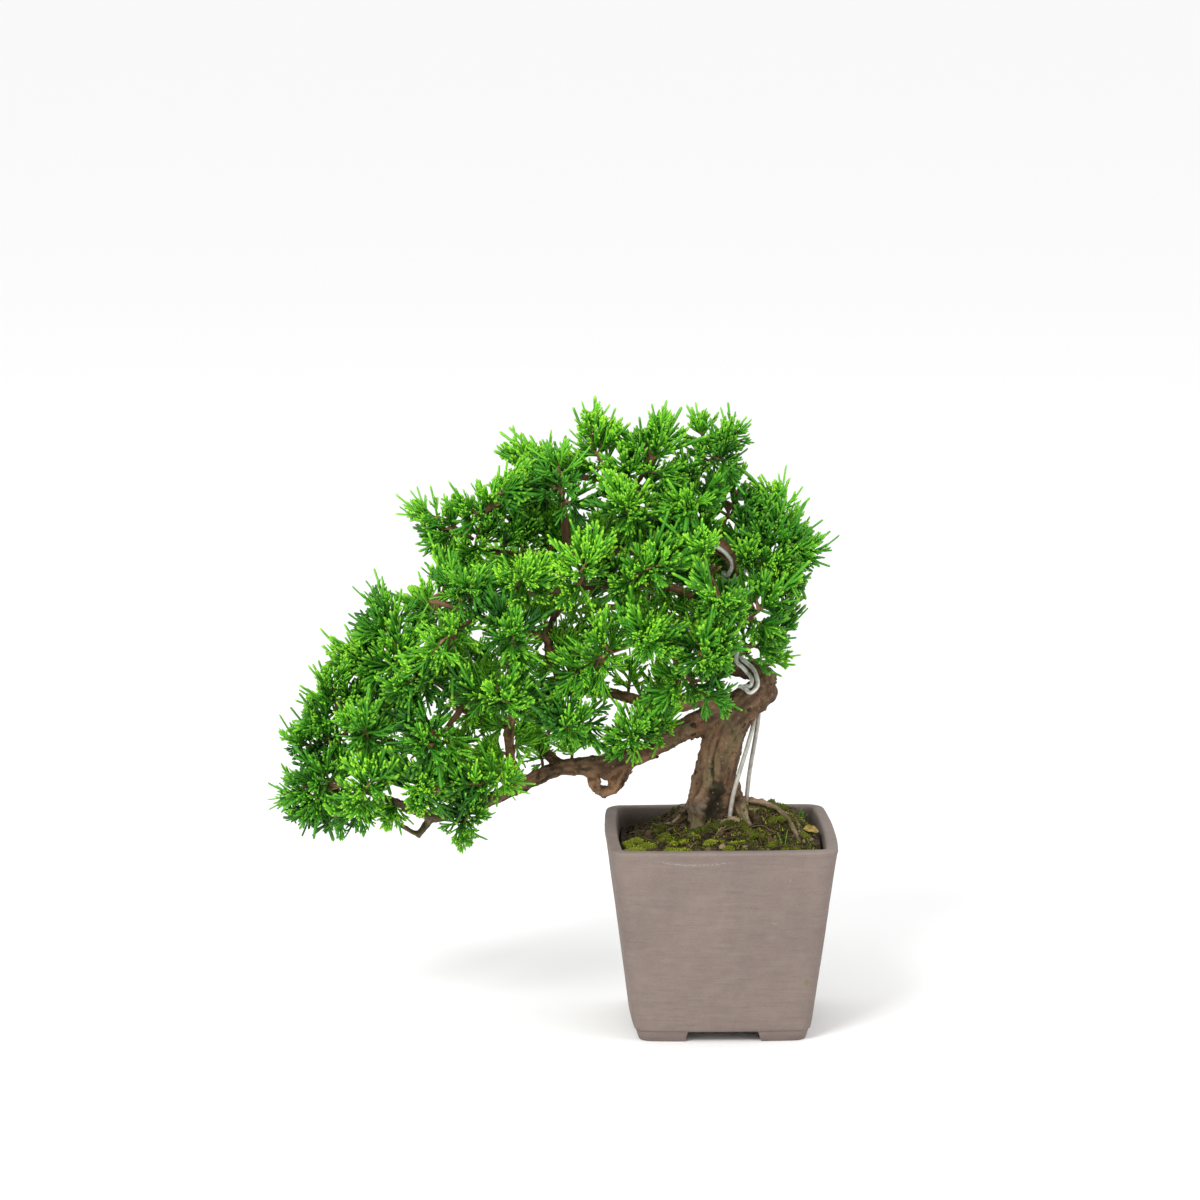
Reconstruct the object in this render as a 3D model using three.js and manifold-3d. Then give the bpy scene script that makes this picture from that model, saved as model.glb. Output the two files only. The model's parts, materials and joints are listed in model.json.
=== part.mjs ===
// A small juniper bonsai in a tapered square clay pot. The trunk bends right, folds back on itself
// and climbs to the crown. A long lower limb sweeps out to the left and droops past the rim.
// Millimetres, +Z up. The tree is drawn round the middle of the pot's base, with the viewer at -Y,
// and the finished group is shifted so that its origin is the middle of the whole footprint.
import * as THREE from 'three';
import { mergeVertices } from 'three/addons/utils/BufferGeometryUtils.js';
import Module from 'manifold-3d';

const wasm = await Module();
wasm.setup();

// Driving dimensions of the pot
const POT_HEIGHT = 90.75;
const RIM_HALF = 51.2;
const BASE_HALF = 40.2;
const WALL = 5.5;
const FLOOR = 6;
const SIDE_BOW = 0.03;
const OUTER_CORNER = 0.16;
const INNER_CORNER = 0.08;
const EDGE_ROUND = 1.5;
const FOOT_HEIGHT = 4.8;
const FOOT_LENGTH = 24.5;
const FOOT_WIDTH = 9;
const FOOT_SETBACK = 0.9;
const FOOT_TAPER = 1.3;
const DRAIN_DIAMETER = 15;
const DRAIN_SIDES = 16;

// Driving dimensions of the screen over the drain hole
const SCREEN_SIDE = 23;
const SCREEN_THICKNESS = 1;
const SCREEN_BAR = 1.6;
const SCREEN_BARS = 4;

// Driving dimensions of the soil, whose top is a mound round the trunk
const SOIL_EDGE_HEIGHT = 84;
const SOIL_SLOPE = 0.07;
const MOUND_HEIGHT = 12.5;
const MOUND_MIDDLE = [2, 2];
const MOUND_LEFT = 26;
const MOUND_RIGHT = 40;
const MOUND_DEPTH = 25;
const LUMP_HEIGHT = 0.5;
const LUMP_WAVE = 0.34;

// Driving dimensions of the tree and of the wire that trains it
const WIRE_DIAMETER = 2;
const WIRE_PITCH = 17;
const WIRE_TURNS = 4.9;
const WIRE_PHASE = -0.5;
const WIRE_TURN_STEPS = 8;
const STRAND_SPACING = 2.45;
const BARK_RIB = 0.05;
const BARK_SWELL = 1 + 1.6 * BARK_RIB;
const STEM_RADIUS = 0.95;
const NEEDLE_LENGTH = 13.5;
const NEEDLE_RADIUS = 1.15;

// Pieces that touch keep this gap, and the holes that hold a stem are this much wider all round.
// Needles keep a wider one to another spray, and a narrow one to their own.
const GAP = 0.3;
const GROWN = 0.35;
const NEEDLE_CLEARANCE = 0.65;
const SHOOT_CLEARANCE = 0.1;
const WOOD_TOLERANCE = 0.12;
const FLAT_TOLERANCE = 0.05;

const vec = (x, y, z) => new THREE.Vector3(x, y, z);
const mix = THREE.MathUtils.lerp;

// Seeded random numbers between 0 and 1
function randomSource(seed) {
  let state = seed;
  return () => {
    state = (state + 0x6d2b79f5) | 0;
    let mixed = Math.imul(state ^ (state >>> 15), 1 | state);
    mixed = (mixed + Math.imul(mixed ^ (mixed >>> 7), 61 | mixed)) ^ mixed;
    return ((mixed ^ (mixed >>> 14)) >>> 0) / 4294967296;
  };
}

// Closed meshes and solids

function closedGeometry(vertices, triangles) {
  let volume = 0;
  for (const [a, b, c] of triangles) {
    volume += vertices[a].dot(vertices[b].clone().cross(vertices[c]));
  }
  const faces = volume > 0 ? triangles : triangles.map(([a, b, c]) => [a, c, b]);
  const geometry = new THREE.BufferGeometry();
  const positions = vertices.flatMap((v) => [v.x, v.y, v.z]);
  geometry.setAttribute('position', new THREE.Float32BufferAttribute(positions, 3));
  geometry.setIndex(faces.flat());
  return geometry;
}

// A closed skin over a stack of rings. Each end is closed by a fan from the centre given for it.
function skin(rings, startCentre, endCentre) {
  const count = rings[0].length;
  const vertices = [...rings.flat(), startCentre, endCentre];
  const startIndex = vertices.length - 2;
  const endIndex = vertices.length - 1;
  const lastRing = (rings.length - 1) * count;
  const triangles = [];
  for (let i = 0; i < count; i += 1) {
    const next = (i + 1) % count;
    for (let base = 0; base < lastRing; base += count) {
      triangles.push([base + i, base + next, base + count + next]);
      triangles.push([base + i, base + count + next, base + count + i]);
    }
    triangles.push([startIndex, next, i]);
    triangles.push([endIndex, lastRing + i, lastRing + next]);
  }
  return closedGeometry(vertices, triangles);
}

function toSolid(geometry) {
  const bare = geometry.clone();
  bare.deleteAttribute('normal');
  bare.deleteAttribute('uv');
  const merged = mergeVertices(bare, 1e-4);
  const vertProperties = Float32Array.from(merged.attributes.position.array);
  const triVerts = Uint32Array.from(merged.index.array);
  return new wasm.Manifold(new wasm.Mesh({ numProp: 3, vertProperties, triVerts }));
}

function toGeometry(solid) {
  const mesh = solid.getMesh();
  const geometry = new THREE.BufferGeometry();
  const positions = new THREE.BufferAttribute(Float32Array.from(mesh.vertProperties), 3);
  geometry.setAttribute('position', positions);
  geometry.setIndex(new THREE.BufferAttribute(Uint32Array.from(mesh.triVerts), 1));
  return geometry;
}

const join = (geometries) => geometries.map(toSolid).reduce((whole, solid) => whole.add(solid));

// The largest body of a solid, without the scraps that a cut can leave
function largestBody(solid) {
  const bodies = solid.decompose();
  return bodies.reduce((best, body) => (body.volume() > best.volume() ? body : best));
}

// The pot

// A square plan whose sides bow out a little and whose corners are round, counter-clockwise
function squarePlan(half, cornerShare, z) {
  const cornerSteps = 4;
  const sideSteps = 4;
  const radius = half * cornerShare;
  const flat = half - radius;
  const quarter = [];
  for (let i = 0; i <= cornerSteps; i += 1) {
    const angle = (Math.PI / 2) * (i / cornerSteps);
    quarter.push([flat + radius * Math.cos(angle), flat + radius * Math.sin(angle)]);
  }
  for (let i = 1; i < sideSteps; i += 1) {
    const across = mix(flat, -flat, i / sideSteps);
    quarter.push([across, half * (1 + SIDE_BOW * (1 - (across / flat) ** 2))]);
  }
  const plan = [];
  for (let side = 0; side < 4; side += 1) {
    const turn = (Math.PI / 2) * side;
    for (const [x, y] of quarter) {
      plan.push(vec(x * Math.cos(turn) - y * Math.sin(turn), x * Math.sin(turn) + y * Math.cos(turn), z));
    }
  }
  return plan;
}

const outerHalf = (z) => mix(BASE_HALF, RIM_HALF, (z - FOOT_HEIGHT) / (POT_HEIGHT - FOOT_HEIGHT));
const innerHalf = (z) => outerHalf(z) - WALL;

// One L-shaped foot, which narrows towards the ground
function footGeometry() {
  const outer = BASE_HALF - FOOT_SETBACK;
  const inner = BASE_HALF - FOOT_WIDTH;
  const end = BASE_HALF - FOOT_LENGTH;
  const corner = outer * (1 - OUTER_CORNER);
  const corners = [
    [end, inner], [inner, inner], [inner, end], [outer, end], [outer, corner],
    [mix(corner, outer, Math.SQRT1_2), mix(corner, outer, Math.SQRT1_2)], [corner, outer], [end, outer],
  ];
  const outline = new THREE.Shape(corners.map(([x, y]) => new THREE.Vector2(x, y)));
  const foot = new THREE.ExtrudeGeometry(outline, { depth: FOOT_HEIGHT + FLOOR / 2, bevelEnabled: false });
  const centre = (outer + end) / 2;
  const narrow = 1 - FOOT_TAPER / (outer - centre);
  const places = foot.attributes.position;
  for (let i = 0; i < places.count; i += 1) {
    if (places.getZ(i) === 0) {
      places.setXY(i, mix(centre, places.getX(i), narrow), mix(centre, places.getY(i), narrow));
    }
  }
  return foot;
}

function potGeometry() {
  const floorTop = FOOT_HEIGHT + FLOOR;
  const rim = POT_HEIGHT;
  const rings = [
    squarePlan(BASE_HALF - EDGE_ROUND, OUTER_CORNER, FOOT_HEIGHT),
    squarePlan(outerHalf(FOOT_HEIGHT + EDGE_ROUND), OUTER_CORNER, FOOT_HEIGHT + EDGE_ROUND),
    squarePlan(outerHalf(rim - 2 * EDGE_ROUND), OUTER_CORNER, rim - 2 * EDGE_ROUND),
    squarePlan(RIM_HALF - 0.3 * EDGE_ROUND, OUTER_CORNER, rim - 0.5 * EDGE_ROUND),
    squarePlan(RIM_HALF - EDGE_ROUND, OUTER_CORNER, rim),
    squarePlan(innerHalf(rim) + 0.7 * EDGE_ROUND, INNER_CORNER, rim),
    squarePlan(innerHalf(rim - EDGE_ROUND), INNER_CORNER, rim - EDGE_ROUND),
    squarePlan(innerHalf(floorTop + EDGE_ROUND), INNER_CORNER, floorTop + EDGE_ROUND),
    squarePlan(innerHalf(floorTop) - EDGE_ROUND, INNER_CORNER, floorTop),
  ];
  let pot = toSolid(skin(rings, vec(0, 0, FOOT_HEIGHT), vec(0, 0, floorTop)));
  for (let corner = 0; corner < 4; corner += 1) {
    pot = pot.add(toSolid(footGeometry().rotateZ((Math.PI / 2) * corner)));
  }
  const drainRadius = DRAIN_DIAMETER / 2;
  const drain = new THREE.CylinderGeometry(drainRadius, drainRadius, 4 * FLOOR, DRAIN_SIDES);
  drain.rotateX(Math.PI / 2);
  drain.translate(0, 0, floorTop - FLOOR / 2);
  return toGeometry(pot.subtract(toSolid(drain)));
}

// The plastic screen that keeps the soil in over the drain hole
const SCREEN_BOTTOM = FOOT_HEIGHT + FLOOR + GAP;

function screenGeometry() {
  const reach = (SCREEN_SIDE - SCREEN_BAR) / 2;
  const bars = [];
  for (let i = 0; i < SCREEN_BARS; i += 1) {
    const across = mix(-reach, reach, i / (SCREEN_BARS - 1));
    bars.push(new THREE.BoxGeometry(SCREEN_SIDE, SCREEN_BAR, SCREEN_THICKNESS).translate(0, across, 0));
    bars.push(new THREE.BoxGeometry(SCREEN_BAR, SCREEN_SIDE, SCREEN_THICKNESS).translate(across, 0, 0));
  }
  const screen = join(bars).simplify(FLAT_TOLERANCE);
  return toGeometry(screen.translate([0, 0, SCREEN_BOTTOM + SCREEN_THICKNESS / 2]));
}

// The tree's limbs. Each control point is x, y, z and the limb's radius there.
const TRUNK = [
  [-6, 2, 70, 9], [-5, 2, 92, 11], [-3, 1, 104, 10.2], [-2, 0, 118, 8.5], [0, 0, 127, 8.6],
  [2, 0, 136, 9.2], [8, 0, 144.5, 8.6], [14, 0, 150, 7.8], [20.5, 1, 156, 6.8], [18.5, 6, 162.5, 5.6],
  [11, 8, 163.5, 4.7], [3, 10, 165.5, 4.5], [-4, 11, 170, 4.5], [-7, 12, 178, 4.4],
  [-3, 10, 189, 4.2], [4, 7, 199, 4.1], [7, 3, 209, 4], [4, 0, 218, 3.9], [-5, 0, 223, 3.7],
  [-14, 2, 227, 3.4], [-25, 4, 235, 3], [-36, 3, 245, 2.5], [-50, 0, 253, 1.6],
];
const LOWER_LIMB = [
  [1, 0, 143, 6], [-9, -1, 140, 6.2], [-21, -3, 135, 5.2], [-31, -5, 129, 4.6],
  [-41, -6, 125, 4.6], [-51, -6, 122, 5], [-61, -5, 121, 4.6], [-73, -3, 120, 4],
  [-82, -2, 116, 3.8], [-93, 0, 110, 3.4], [-105, 1, 104, 3.1], [-118, 0, 99, 2.9],
  [-132, -2, 97, 2.6], [-143, -4, 102, 2.2], [-157, -5, 108, 1.8], [-172, -5, 112, 1.3],
];
const LIMBS = [
  // dead stub, knob and upper fork of the lower limb
  [[-132, -2, 97, 2.2], [-138, -2, 88, 1.9], [-147, -4, 94, 1.2]],
  [[-43, -6, 121, 3.6], [-47, -7, 112, 2.8], [-53, -7, 107, 2.8], [-59, -6, 112, 2.8], [-59, -6, 120, 2.8]],
  [[3, -2, 150, 5], [-11, -3, 151.5, 4.8], [-21, -5, 149, 4.2], [-27, -5, 141, 3.2], [-33, -5, 131, 2.8]],
  // boughs that leave the lower limb
  [[-25, -5, 146, 3], [-34, -6, 150, 3], [-42, -7, 153, 2.8], [-54, -8, 156, 2.5], [-68, -8, 157, 2.3],
    [-82, -8, 159, 2], [-93, -9, 162, 1.8]],
  [[-66, -8, 157, 2.6], [-76, -9, 166, 2.4], [-79, -12, 181, 2.1], [-75, -15, 195, 1.8]],
  [[-92, -1, 112, 2.8], [-97, -6, 131, 2.5], [-94, -10, 153, 2.2], [-97, -14, 172, 1.7]],
  [[-105, 1, 104, 2.6], [-123, 3, 115, 2.4], [-141, 6, 126, 2.1], [-159, 8, 133, 1.7], [-172, 5, 137, 1.4]],
  [[-94, -10, 153, 2.2], [-113, -12, 153, 2.1], [-132, -8, 162, 1.8], [-147, -2, 168, 1.4]],
  [[-79, -12, 181, 2.2], [-100, -15, 188, 2], [-120, -12, 195, 1.6], [-132, -6, 198, 1.3]],
  [[-73, -3, 120, 3], [-85, 14, 128, 2.4], [-103, 26, 136, 2], [-122, 32, 141, 1.5]],
  // boughs that leave the trunk
  [[-10, 1, 224, 3], [-31, 6, 219, 2.6], [-54, 10, 217, 2.4], [-77, 10, 215, 2.1], [-95, 8, 216, 1.9],
    [-112, 4, 221, 1.5]],
  [[7, 3, 209, 2.6], [15, 6, 213, 2.2], [26, 6, 216, 1.5]],
  [[-4, 11, 170, 2.6], [-3, -8, 173, 2.2], [-1, -18, 184, 1.8], [0, -24, 196, 1.4]],
  [[-7, 12, 178, 2.8], [-18, -5, 180, 2.4], [-27, -18, 180, 2.1], [-37, -27, 183, 1.6]],
  [[-3, 10, 189, 2.8], [-18, -5, 202, 2.4], [-36, -15, 207, 2.2], [-55, -20, 207, 2], [-73, -21, 205, 1.8],
    [-90, -20, 203, 1.4]],
  [[-7, 12, 178, 2.8], [-18, 26, 183, 2.3], [-38, 33, 187, 1.9], [-57, 34, 188, 1.4]],
  [[-54, 10, 217, 2.2], [-60, 20, 219, 1.9], [-78, 28, 216, 1.4]],
  [[7, 3, 209, 2.4], [8, 14, 211, 1.9], [6, 24, 212, 1.4]],
  [[-25, 4, 235, 2.4], [-15, 6, 246, 1.8], [-9, 5, 254, 1.3]],
];
// Surface roots and the buried ones that hold the tree up
const ROOTS = [
  [[-3, -2, 112, 6], [-9, -8, 97, 4], [-13, -14, 86, 2.4], [-20, -22, 74, 1.5]],
  [[4, 0, 110, 5], [10, -5, 98, 3.2], [15, -10, 88, 2.2], [22, -20, 74, 1.4]],
  [[0, 5, 110, 5], [2, 13, 97, 3.4], [3, 21, 86, 2.2], [0, 30, 72, 1.4]],
  [[-4, 4, 110, 5], [-14, 9, 97, 3], [-24, 14, 86, 2], [-30, 16, 74, 1.4]],
  [[6, 2, 102, 3], [14, 3, 103, 1.8], [22, 2, 101.5, 1.5], [29, -2, 98, 1.4], [33, -12, 93, 1.4],
    [35, -22, 89, 1.4], [36, -28, 82, 1.2]],
];

// The centre line of a limb, with a frame that doesn't twist, at about one step every so many mm
function centreLine(points, spacing) {
  const curve = new THREE.CatmullRomCurve3(points.map(([x, y, z]) => vec(x, y, z)), false, 'centripetal');
  const steps = Math.max(2, Math.round(curve.getLength() / spacing));
  const stations = [];
  let side = null;
  for (let i = 0; i <= steps; i += 1) {
    const t = i / steps;
    const place = t * (points.length - 1);
    const before = Math.min(Math.floor(place), points.length - 2);
    const radius = mix(points[before][3], points[before + 1][3], place - before);
    const tangent = curve.getTangent(t);
    side = side ?? vec(0, 1, 0).cross(tangent).normalize();
    side.addScaledVector(tangent, -side.dot(tangent)).normalize();
    stations.push({ point: curve.getPoint(t), tangent, side: side.clone(), radius });
  }
  return stations;
}

// A tube over a centre line. The bark's ribs swell its radius round and along it, and its far end
// may run out to a point.
function tube(stations, sides, { rib = 0, extra = 0, tip = 0 } = {}) {
  const rings = stations.map(({ point, tangent, side, radius }, index) => {
    const other = tangent.clone().cross(side);
    return Array.from({ length: sides }, (unused, i) => {
      const angle = (2 * Math.PI * i) / sides;
      const swell = 1 + rib * (Math.sin(3 * angle + 0.5 * index) + 0.6 * Math.cos(5 * angle - 0.3 * index));
      const reach = radius * swell + extra;
      return point.clone()
        .addScaledVector(side, reach * Math.cos(angle))
        .addScaledVector(other, reach * Math.sin(angle));
    });
  });
  const first = stations[0];
  const last = stations.at(-1);
  return skin(
    rings,
    first.point.clone().addScaledVector(first.tangent, -extra),
    last.point.clone().addScaledVector(last.tangent, extra + tip * last.radius),
  );
}

// The foliage, sorted by its side of the tree. Each spray is the place of its middle and its reach.
const SPRAYS = {
  crown: [
    [-56, 0, 263, 18], [-30, -4, 263, 18], [-4, 4, 260, 19], [-42, -24, 241, 18], [-14, -10, 242, 17],
    [-82, 9, 254, 18], [-72, -18, 251, 18], [-82, 25, 232, 19], [-105, -8, 242, 19], [-122, 4, 231, 19],
    [6, 12, 240, 18], [29, 9, 229, 18], [27, -3, 220, 16], [20, -14, 214, 16],
  ],
  front: [
    [-8, -32, 218, 18], [-36, -38, 216, 18], [-64, -38, 215, 18], [-92, -35, 211, 18],
    [-117, -26, 206, 18], [-130, -4, 199, 18], [-148, 3, 184, 18], [-123, -31, 186, 19],
    [-95, -40, 186, 19], [-57, -35, 176, 21], [-36, -44, 189, 21], [-4, -43, 205, 17],
    [-10, -42, 181, 18], [18, -22, 197, 17], [18, -12, 178, 16], [-14, -35, 164, 19],
  ],
  lower: [
    [-158, 10, 168, 18], [-136, -27, 166, 18], [-103, -38, 159, 21], [-176, 1, 151, 18],
    [-180, 4, 131, 17], [-160, -30, 140, 18], [-129, -38, 140, 20], [-68, -33, 147, 21],
    [-41, -29, 139, 16], [-176, -5, 112, 17], [-161, -29, 116, 18], [-134, -36, 119, 18],
    [-107, -26, 118, 19], [-167, -6, 101, 15], [-118, -11, 99, 12],
  ],
  back: [
    [-55, 42, 221, 19], [-22, 31, 233, 18], [-97, 38, 204, 19], [-131, 27, 186, 18], [-66, 47, 190, 18],
    [-28, 43, 201, 18], [8, 34, 212, 17], [-149, 24, 143, 18], [-112, 43, 152, 19],
  ],
};

// Where each spray grows: its stem leaves the nearest free part of a limb and heads for the spray's
// middle. A part of a limb that lies above the spray counts as further off, because stems seek the light.
const DROOP_COST = 0.35;
const HOST_SPACING = 4;
const STEM_SPACING = 5;

function growthPlan(limbs) {
  const stations = limbs.flatMap((points) => centreLine(points, HOST_SPACING));
  const taken = [];
  return Object.values(SPRAYS).flat().map(([x, y, z, reach]) => {
    const centre = vec(x, y, z);
    const cost = ({ point }) => point.distanceTo(centre) + DROOP_COST * Math.max(0, point.z - z);
    const free = stations.filter(({ point }) => (
      taken.every((other) => other.point.distanceTo(point) > STEM_SPACING)
    ));
    const host = free.reduce((best, station) => (cost(station) < cost(best) ? station : best));
    taken.push(host);
    const axis = centre.clone().sub(host.point).normalize();
    return { centre, reach, axis, host };
  });
}

// The wood's faces within a distance of a point
function facesNear(geometry, point, distance) {
  const { position } = geometry.attributes;
  const index = geometry.index.array;
  const faces = [];
  for (let i = 0; i < index.length; i += 3) {
    const corners = index.slice(i, i + 3);
    const face = new THREE.Triangle().setFromAttributeAndIndices(position, ...corners);
    if (face.closestPointToPoint(point, vec(0, 0, 0)).distanceTo(point) < distance) {
      faces.push(face);
    }
  }
  return faces;
}

// The gap between the round end of a stem and the wood
function endGap(point, axis, faces) {
  const rim = Array.from({ length: SEAT_POINTS }, (unused, i) => (
    point.clone().addScaledVector(around(axis, (2 * Math.PI * i) / SEAT_POINTS), STEM_RADIUS)
  ));
  const nearest = vec(0, 0, 0);
  const gaps = [point, ...rim].flatMap((place) => (
    faces.map((face) => face.closestPointToPoint(place, nearest).distanceTo(place))
  ));
  return Math.min(...gaps);
}

// The stem is moved in to the bark in small steps until only the gap is left, and then out again
// where a wire is in its way
const SEAT_STEP = 0.05;
const SEAT_POINTS = 6;
const SEAT_START = 3;
const TIP_SHARE = 0.3;

function seatSpray({ centre, reach, axis, host }, wood, owner) {
  const start = 2 * host.radius + SEAT_START;
  const base = host.point.clone().addScaledVector(axis, start);
  const faces = facesNear(wood, host.point, 2 * start);
  while (endGap(base, axis, faces) > GAP + SEAT_STEP) {
    base.addScaledVector(axis, -SEAT_STEP);
  }
  const ahead = base.clone().addScaledVector(axis, 2 * STEM_RADIUS);
  while (!isClear(base, ahead, STEM_RADIUS, STEM_RADIUS, owner, 'wood')) {
    base.addScaledVector(axis, SEAT_STEP);
    ahead.addScaledVector(axis, SEAT_STEP);
  }
  const length = Math.max(base.distanceTo(centre) + TIP_SHARE * reach, (MAIN_ROWS + 1) * ROW_LENGTH);
  return { axis, base, length, reach };
}

// The wire: two strands that rise from the soil, pass behind the bend, come forward under the trunk
// where it folds back, and wind on up it side by side
const WIRE_FEET = [
  [[3.6, -8, 82], [4.6, -8.6, 102], [9, -8, 120], [15, -2.4, 139], [15.4, 8.6, 145.6], [14, 12, 150.6]],
  [[12, 3, 82], [12.4, 2.8, 102], [14.2, 2, 120], [17.2, 0.4, 139], [17.8, 9.8, 145.4], [16.4, 13, 150.4]],
];
const WINDING_START = 0.43;

function windingPath(strand) {
  const stations = centreLine(TRUNK, 1);
  const first = Math.round(WINDING_START * stations.length);
  const down = vec(0, 0, -1);
  const frame = ({ tangent, side }) => [side, tangent.clone().cross(side)];
  const [side, other] = frame(stations[first]);
  const phase = Math.atan2(down.dot(other), down.dot(side));
  const winding = [];
  for (let i = 0; i <= WIRE_TURNS * WIRE_TURN_STEPS; i += 1) {
    const turn = i / WIRE_TURN_STEPS;
    const station = stations[Math.min(Math.round(first + turn * WIRE_PITCH), stations.length - 1)];
    const [across, up] = frame(station);
    const angle = phase + WIRE_PHASE + 2 * Math.PI * turn;
    const radial = across.clone().multiplyScalar(Math.cos(angle)).addScaledVector(up, Math.sin(angle));
    const reach = station.radius * BARK_SWELL + WIRE_DIAMETER / 2 + GROWN;
    winding.push({ point: station.point.clone().addScaledVector(radial, reach), radial });
  }
  return winding.map(({ point, radial }, i) => {
    const before = winding[Math.max(0, i - 1)].point;
    const after = winding[Math.min(winding.length - 1, i + 1)].point;
    const sideways = after.clone().sub(before).cross(radial).normalize();
    return point.clone().addScaledVector(sideways, (strand - 0.5) * STRAND_SPACING);
  });
}

function wireRoute(strand) {
  const route = [...WIRE_FEET[strand], ...windingPath(strand).map((point) => point.toArray())];
  return route.map((place) => [...place, WIRE_DIAMETER / 2]);
}

// Clearance between tapered rods, kept as a list of everything that a needle must miss

const obstacles = [];

function addRod(start, end, startRadius, endRadius, owner, shoot) {
  const line = new THREE.Line3(start.clone(), end.clone());
  const middle = line.getCenter(vec(0, 0, 0));
  const bound = line.distance() / 2 + Math.max(startRadius, endRadius);
  obstacles.push({ line, middle, bound, startRadius, endRadius, owner, shoot });
}

function addTube(stations, owner, swell = 1) {
  stations.slice(1).forEach((station, i) => {
    const before = stations[i];
    addRod(before.point, station.point, before.radius * swell, station.radius * swell, owner, owner);
  });
}

// The gap between two rods, measured from points spaced along the first
const GAP_STEPS = 8;

function rodGap(start, end, startRadius, endRadius, rod) {
  const point = vec(0, 0, 0);
  const nearest = vec(0, 0, 0);
  let least = Infinity;
  for (let i = 0; i <= GAP_STEPS; i += 1) {
    point.lerpVectors(start, end, i / GAP_STEPS);
    const share = rod.line.closestPointToPointParameter(point, true);
    rod.line.at(share, nearest);
    const radii = mix(startRadius, endRadius, i / GAP_STEPS) + mix(rod.startRadius, rod.endRadius, share);
    least = Math.min(least, point.distanceTo(nearest) - radii);
  }
  return least;
}

function isClear(start, end, startRadius, endRadius, owner, shoot) {
  const middle = start.clone().lerp(end, 0.5);
  const bound = start.distanceTo(end) / 2 + startRadius;
  return obstacles.every((rod) => {
    if (rod.shoot === shoot) {
      return true;
    }
    const wanted = rod.owner === owner ? SHOOT_CLEARANCE : NEEDLE_CLEARANCE;
    if (rod.middle.distanceTo(middle) > bound + rod.bound + wanted) {
      return true;
    }
    return rodGap(start, end, startRadius, endRadius, rod) > wanted;
  });
}

// Leafy stems. A stem is a stack of three-cornered rings, and its facets are drawn out into needles or
// into side stems, so a spray is one closed skin. Needles near the root of a stem stand out widely and
// those near its tip lean forward, as on a real shoot, which also keeps them from crossing each other.
const ROOT_LEAN = 1.2;
const TIP_LEAN = 0.55;
const LEAN_SPREAD = 0.08;
const ROW_TWIST = 0.5;
const FACET_SPREAD = 0.42;
const ROW_LENGTH = 2.9;
const MAIN_ROWS = 5;
const STEM_TAPER = 0.75;
// A side stem is this share of the spray's reach, and leans out a little more than its needles
const SIDE_ROWS = 2;
const SIDE_SHARE = 0.46;
const SIDE_RADIUS = 0.86;
const SIDE_LEAN = 0.1;
const SIDE_LEAN_MOST = 1.1;
// A needle is tried at its full length and then at these shares of it
const NEEDLE_LENGTHS = [0.8, 1.08];
const NEEDLE_TRIES = [1, 0.75, 0.55];
const NEEDLE_TIP = 0.1;

// The direction at an angle round an axis
function around(axis, angle) {
  const side = axis.clone().cross(Math.abs(axis.z) < 0.9 ? vec(0, 0, 1) : vec(1, 0, 0)).normalize();
  const other = axis.clone().cross(side);
  return side.multiplyScalar(Math.cos(angle)).addScaledVector(other, Math.sin(angle));
}

function ringOn(vertices, centre, axis, angle, radius) {
  const first = vertices.length;
  for (let corner = 0; corner < 3; corner += 1) {
    const direction = around(axis, angle + (2 * Math.PI * corner) / 3);
    vertices.push(centre.clone().addScaledVector(direction, radius));
  }
  return [first, first + 1, first + 2];
}

// Adds the rings of a stem on top of the ring it starts from, and lists its facets from root to tip
function growStem({ vertices, ring, root, axis, turn, rowLengths, radius, bareRows }) {
  const facets = [];
  let low = ring;
  let along = 0;
  const leafyRows = rowLengths.length - bareRows;
  rowLengths.forEach((length, row) => {
    along += length;
    const thickness = radius * mix(1, STEM_TAPER, (row + 1) / rowLengths.length);
    const centre = root.clone().addScaledVector(axis, along);
    const high = ringOn(vertices, centre, axis, turn + ROW_TWIST * (row + 1), thickness);
    const share = leafyRows > 1 ? (row - bareRows) / (leafyRows - 1) : 0.5;
    const lean = mix(ROOT_LEAN, TIP_LEAN, share);
    for (let corner = 0; corner < 3; corner += 1) {
      const next = (corner + 1) % 3;
      const facing = turn + ROW_TWIST * (row + 0.5) + (2 * Math.PI * (corner + 0.5)) / 3;
      const leafy = row >= bareRows;
      const lowOut = around(axis, facing - FACET_SPREAD);
      const highOut = around(axis, facing + FACET_SPREAD);
      facets.push({ corners: [low[corner], low[next], high[corner]], outward: lowOut, axis, lean, leafy });
      facets.push({ corners: [low[next], high[next], high[corner]], outward: highOut, axis, lean, leafy });
    }
    low = high;
  });
  facets.push({ corners: low, outward: around(axis, 0), axis, lean: 0, leafy: true });
  return facets;
}

function facetCentre(vertices, corners) {
  return corners.reduce((sum, index) => sum.add(vertices[index]), vec(0, 0, 0)).divideScalar(3);
}

function headingOf({ outward, axis }, lean) {
  return outward.clone().multiplyScalar(Math.sin(lean)).addScaledVector(axis, Math.cos(lean));
}

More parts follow.
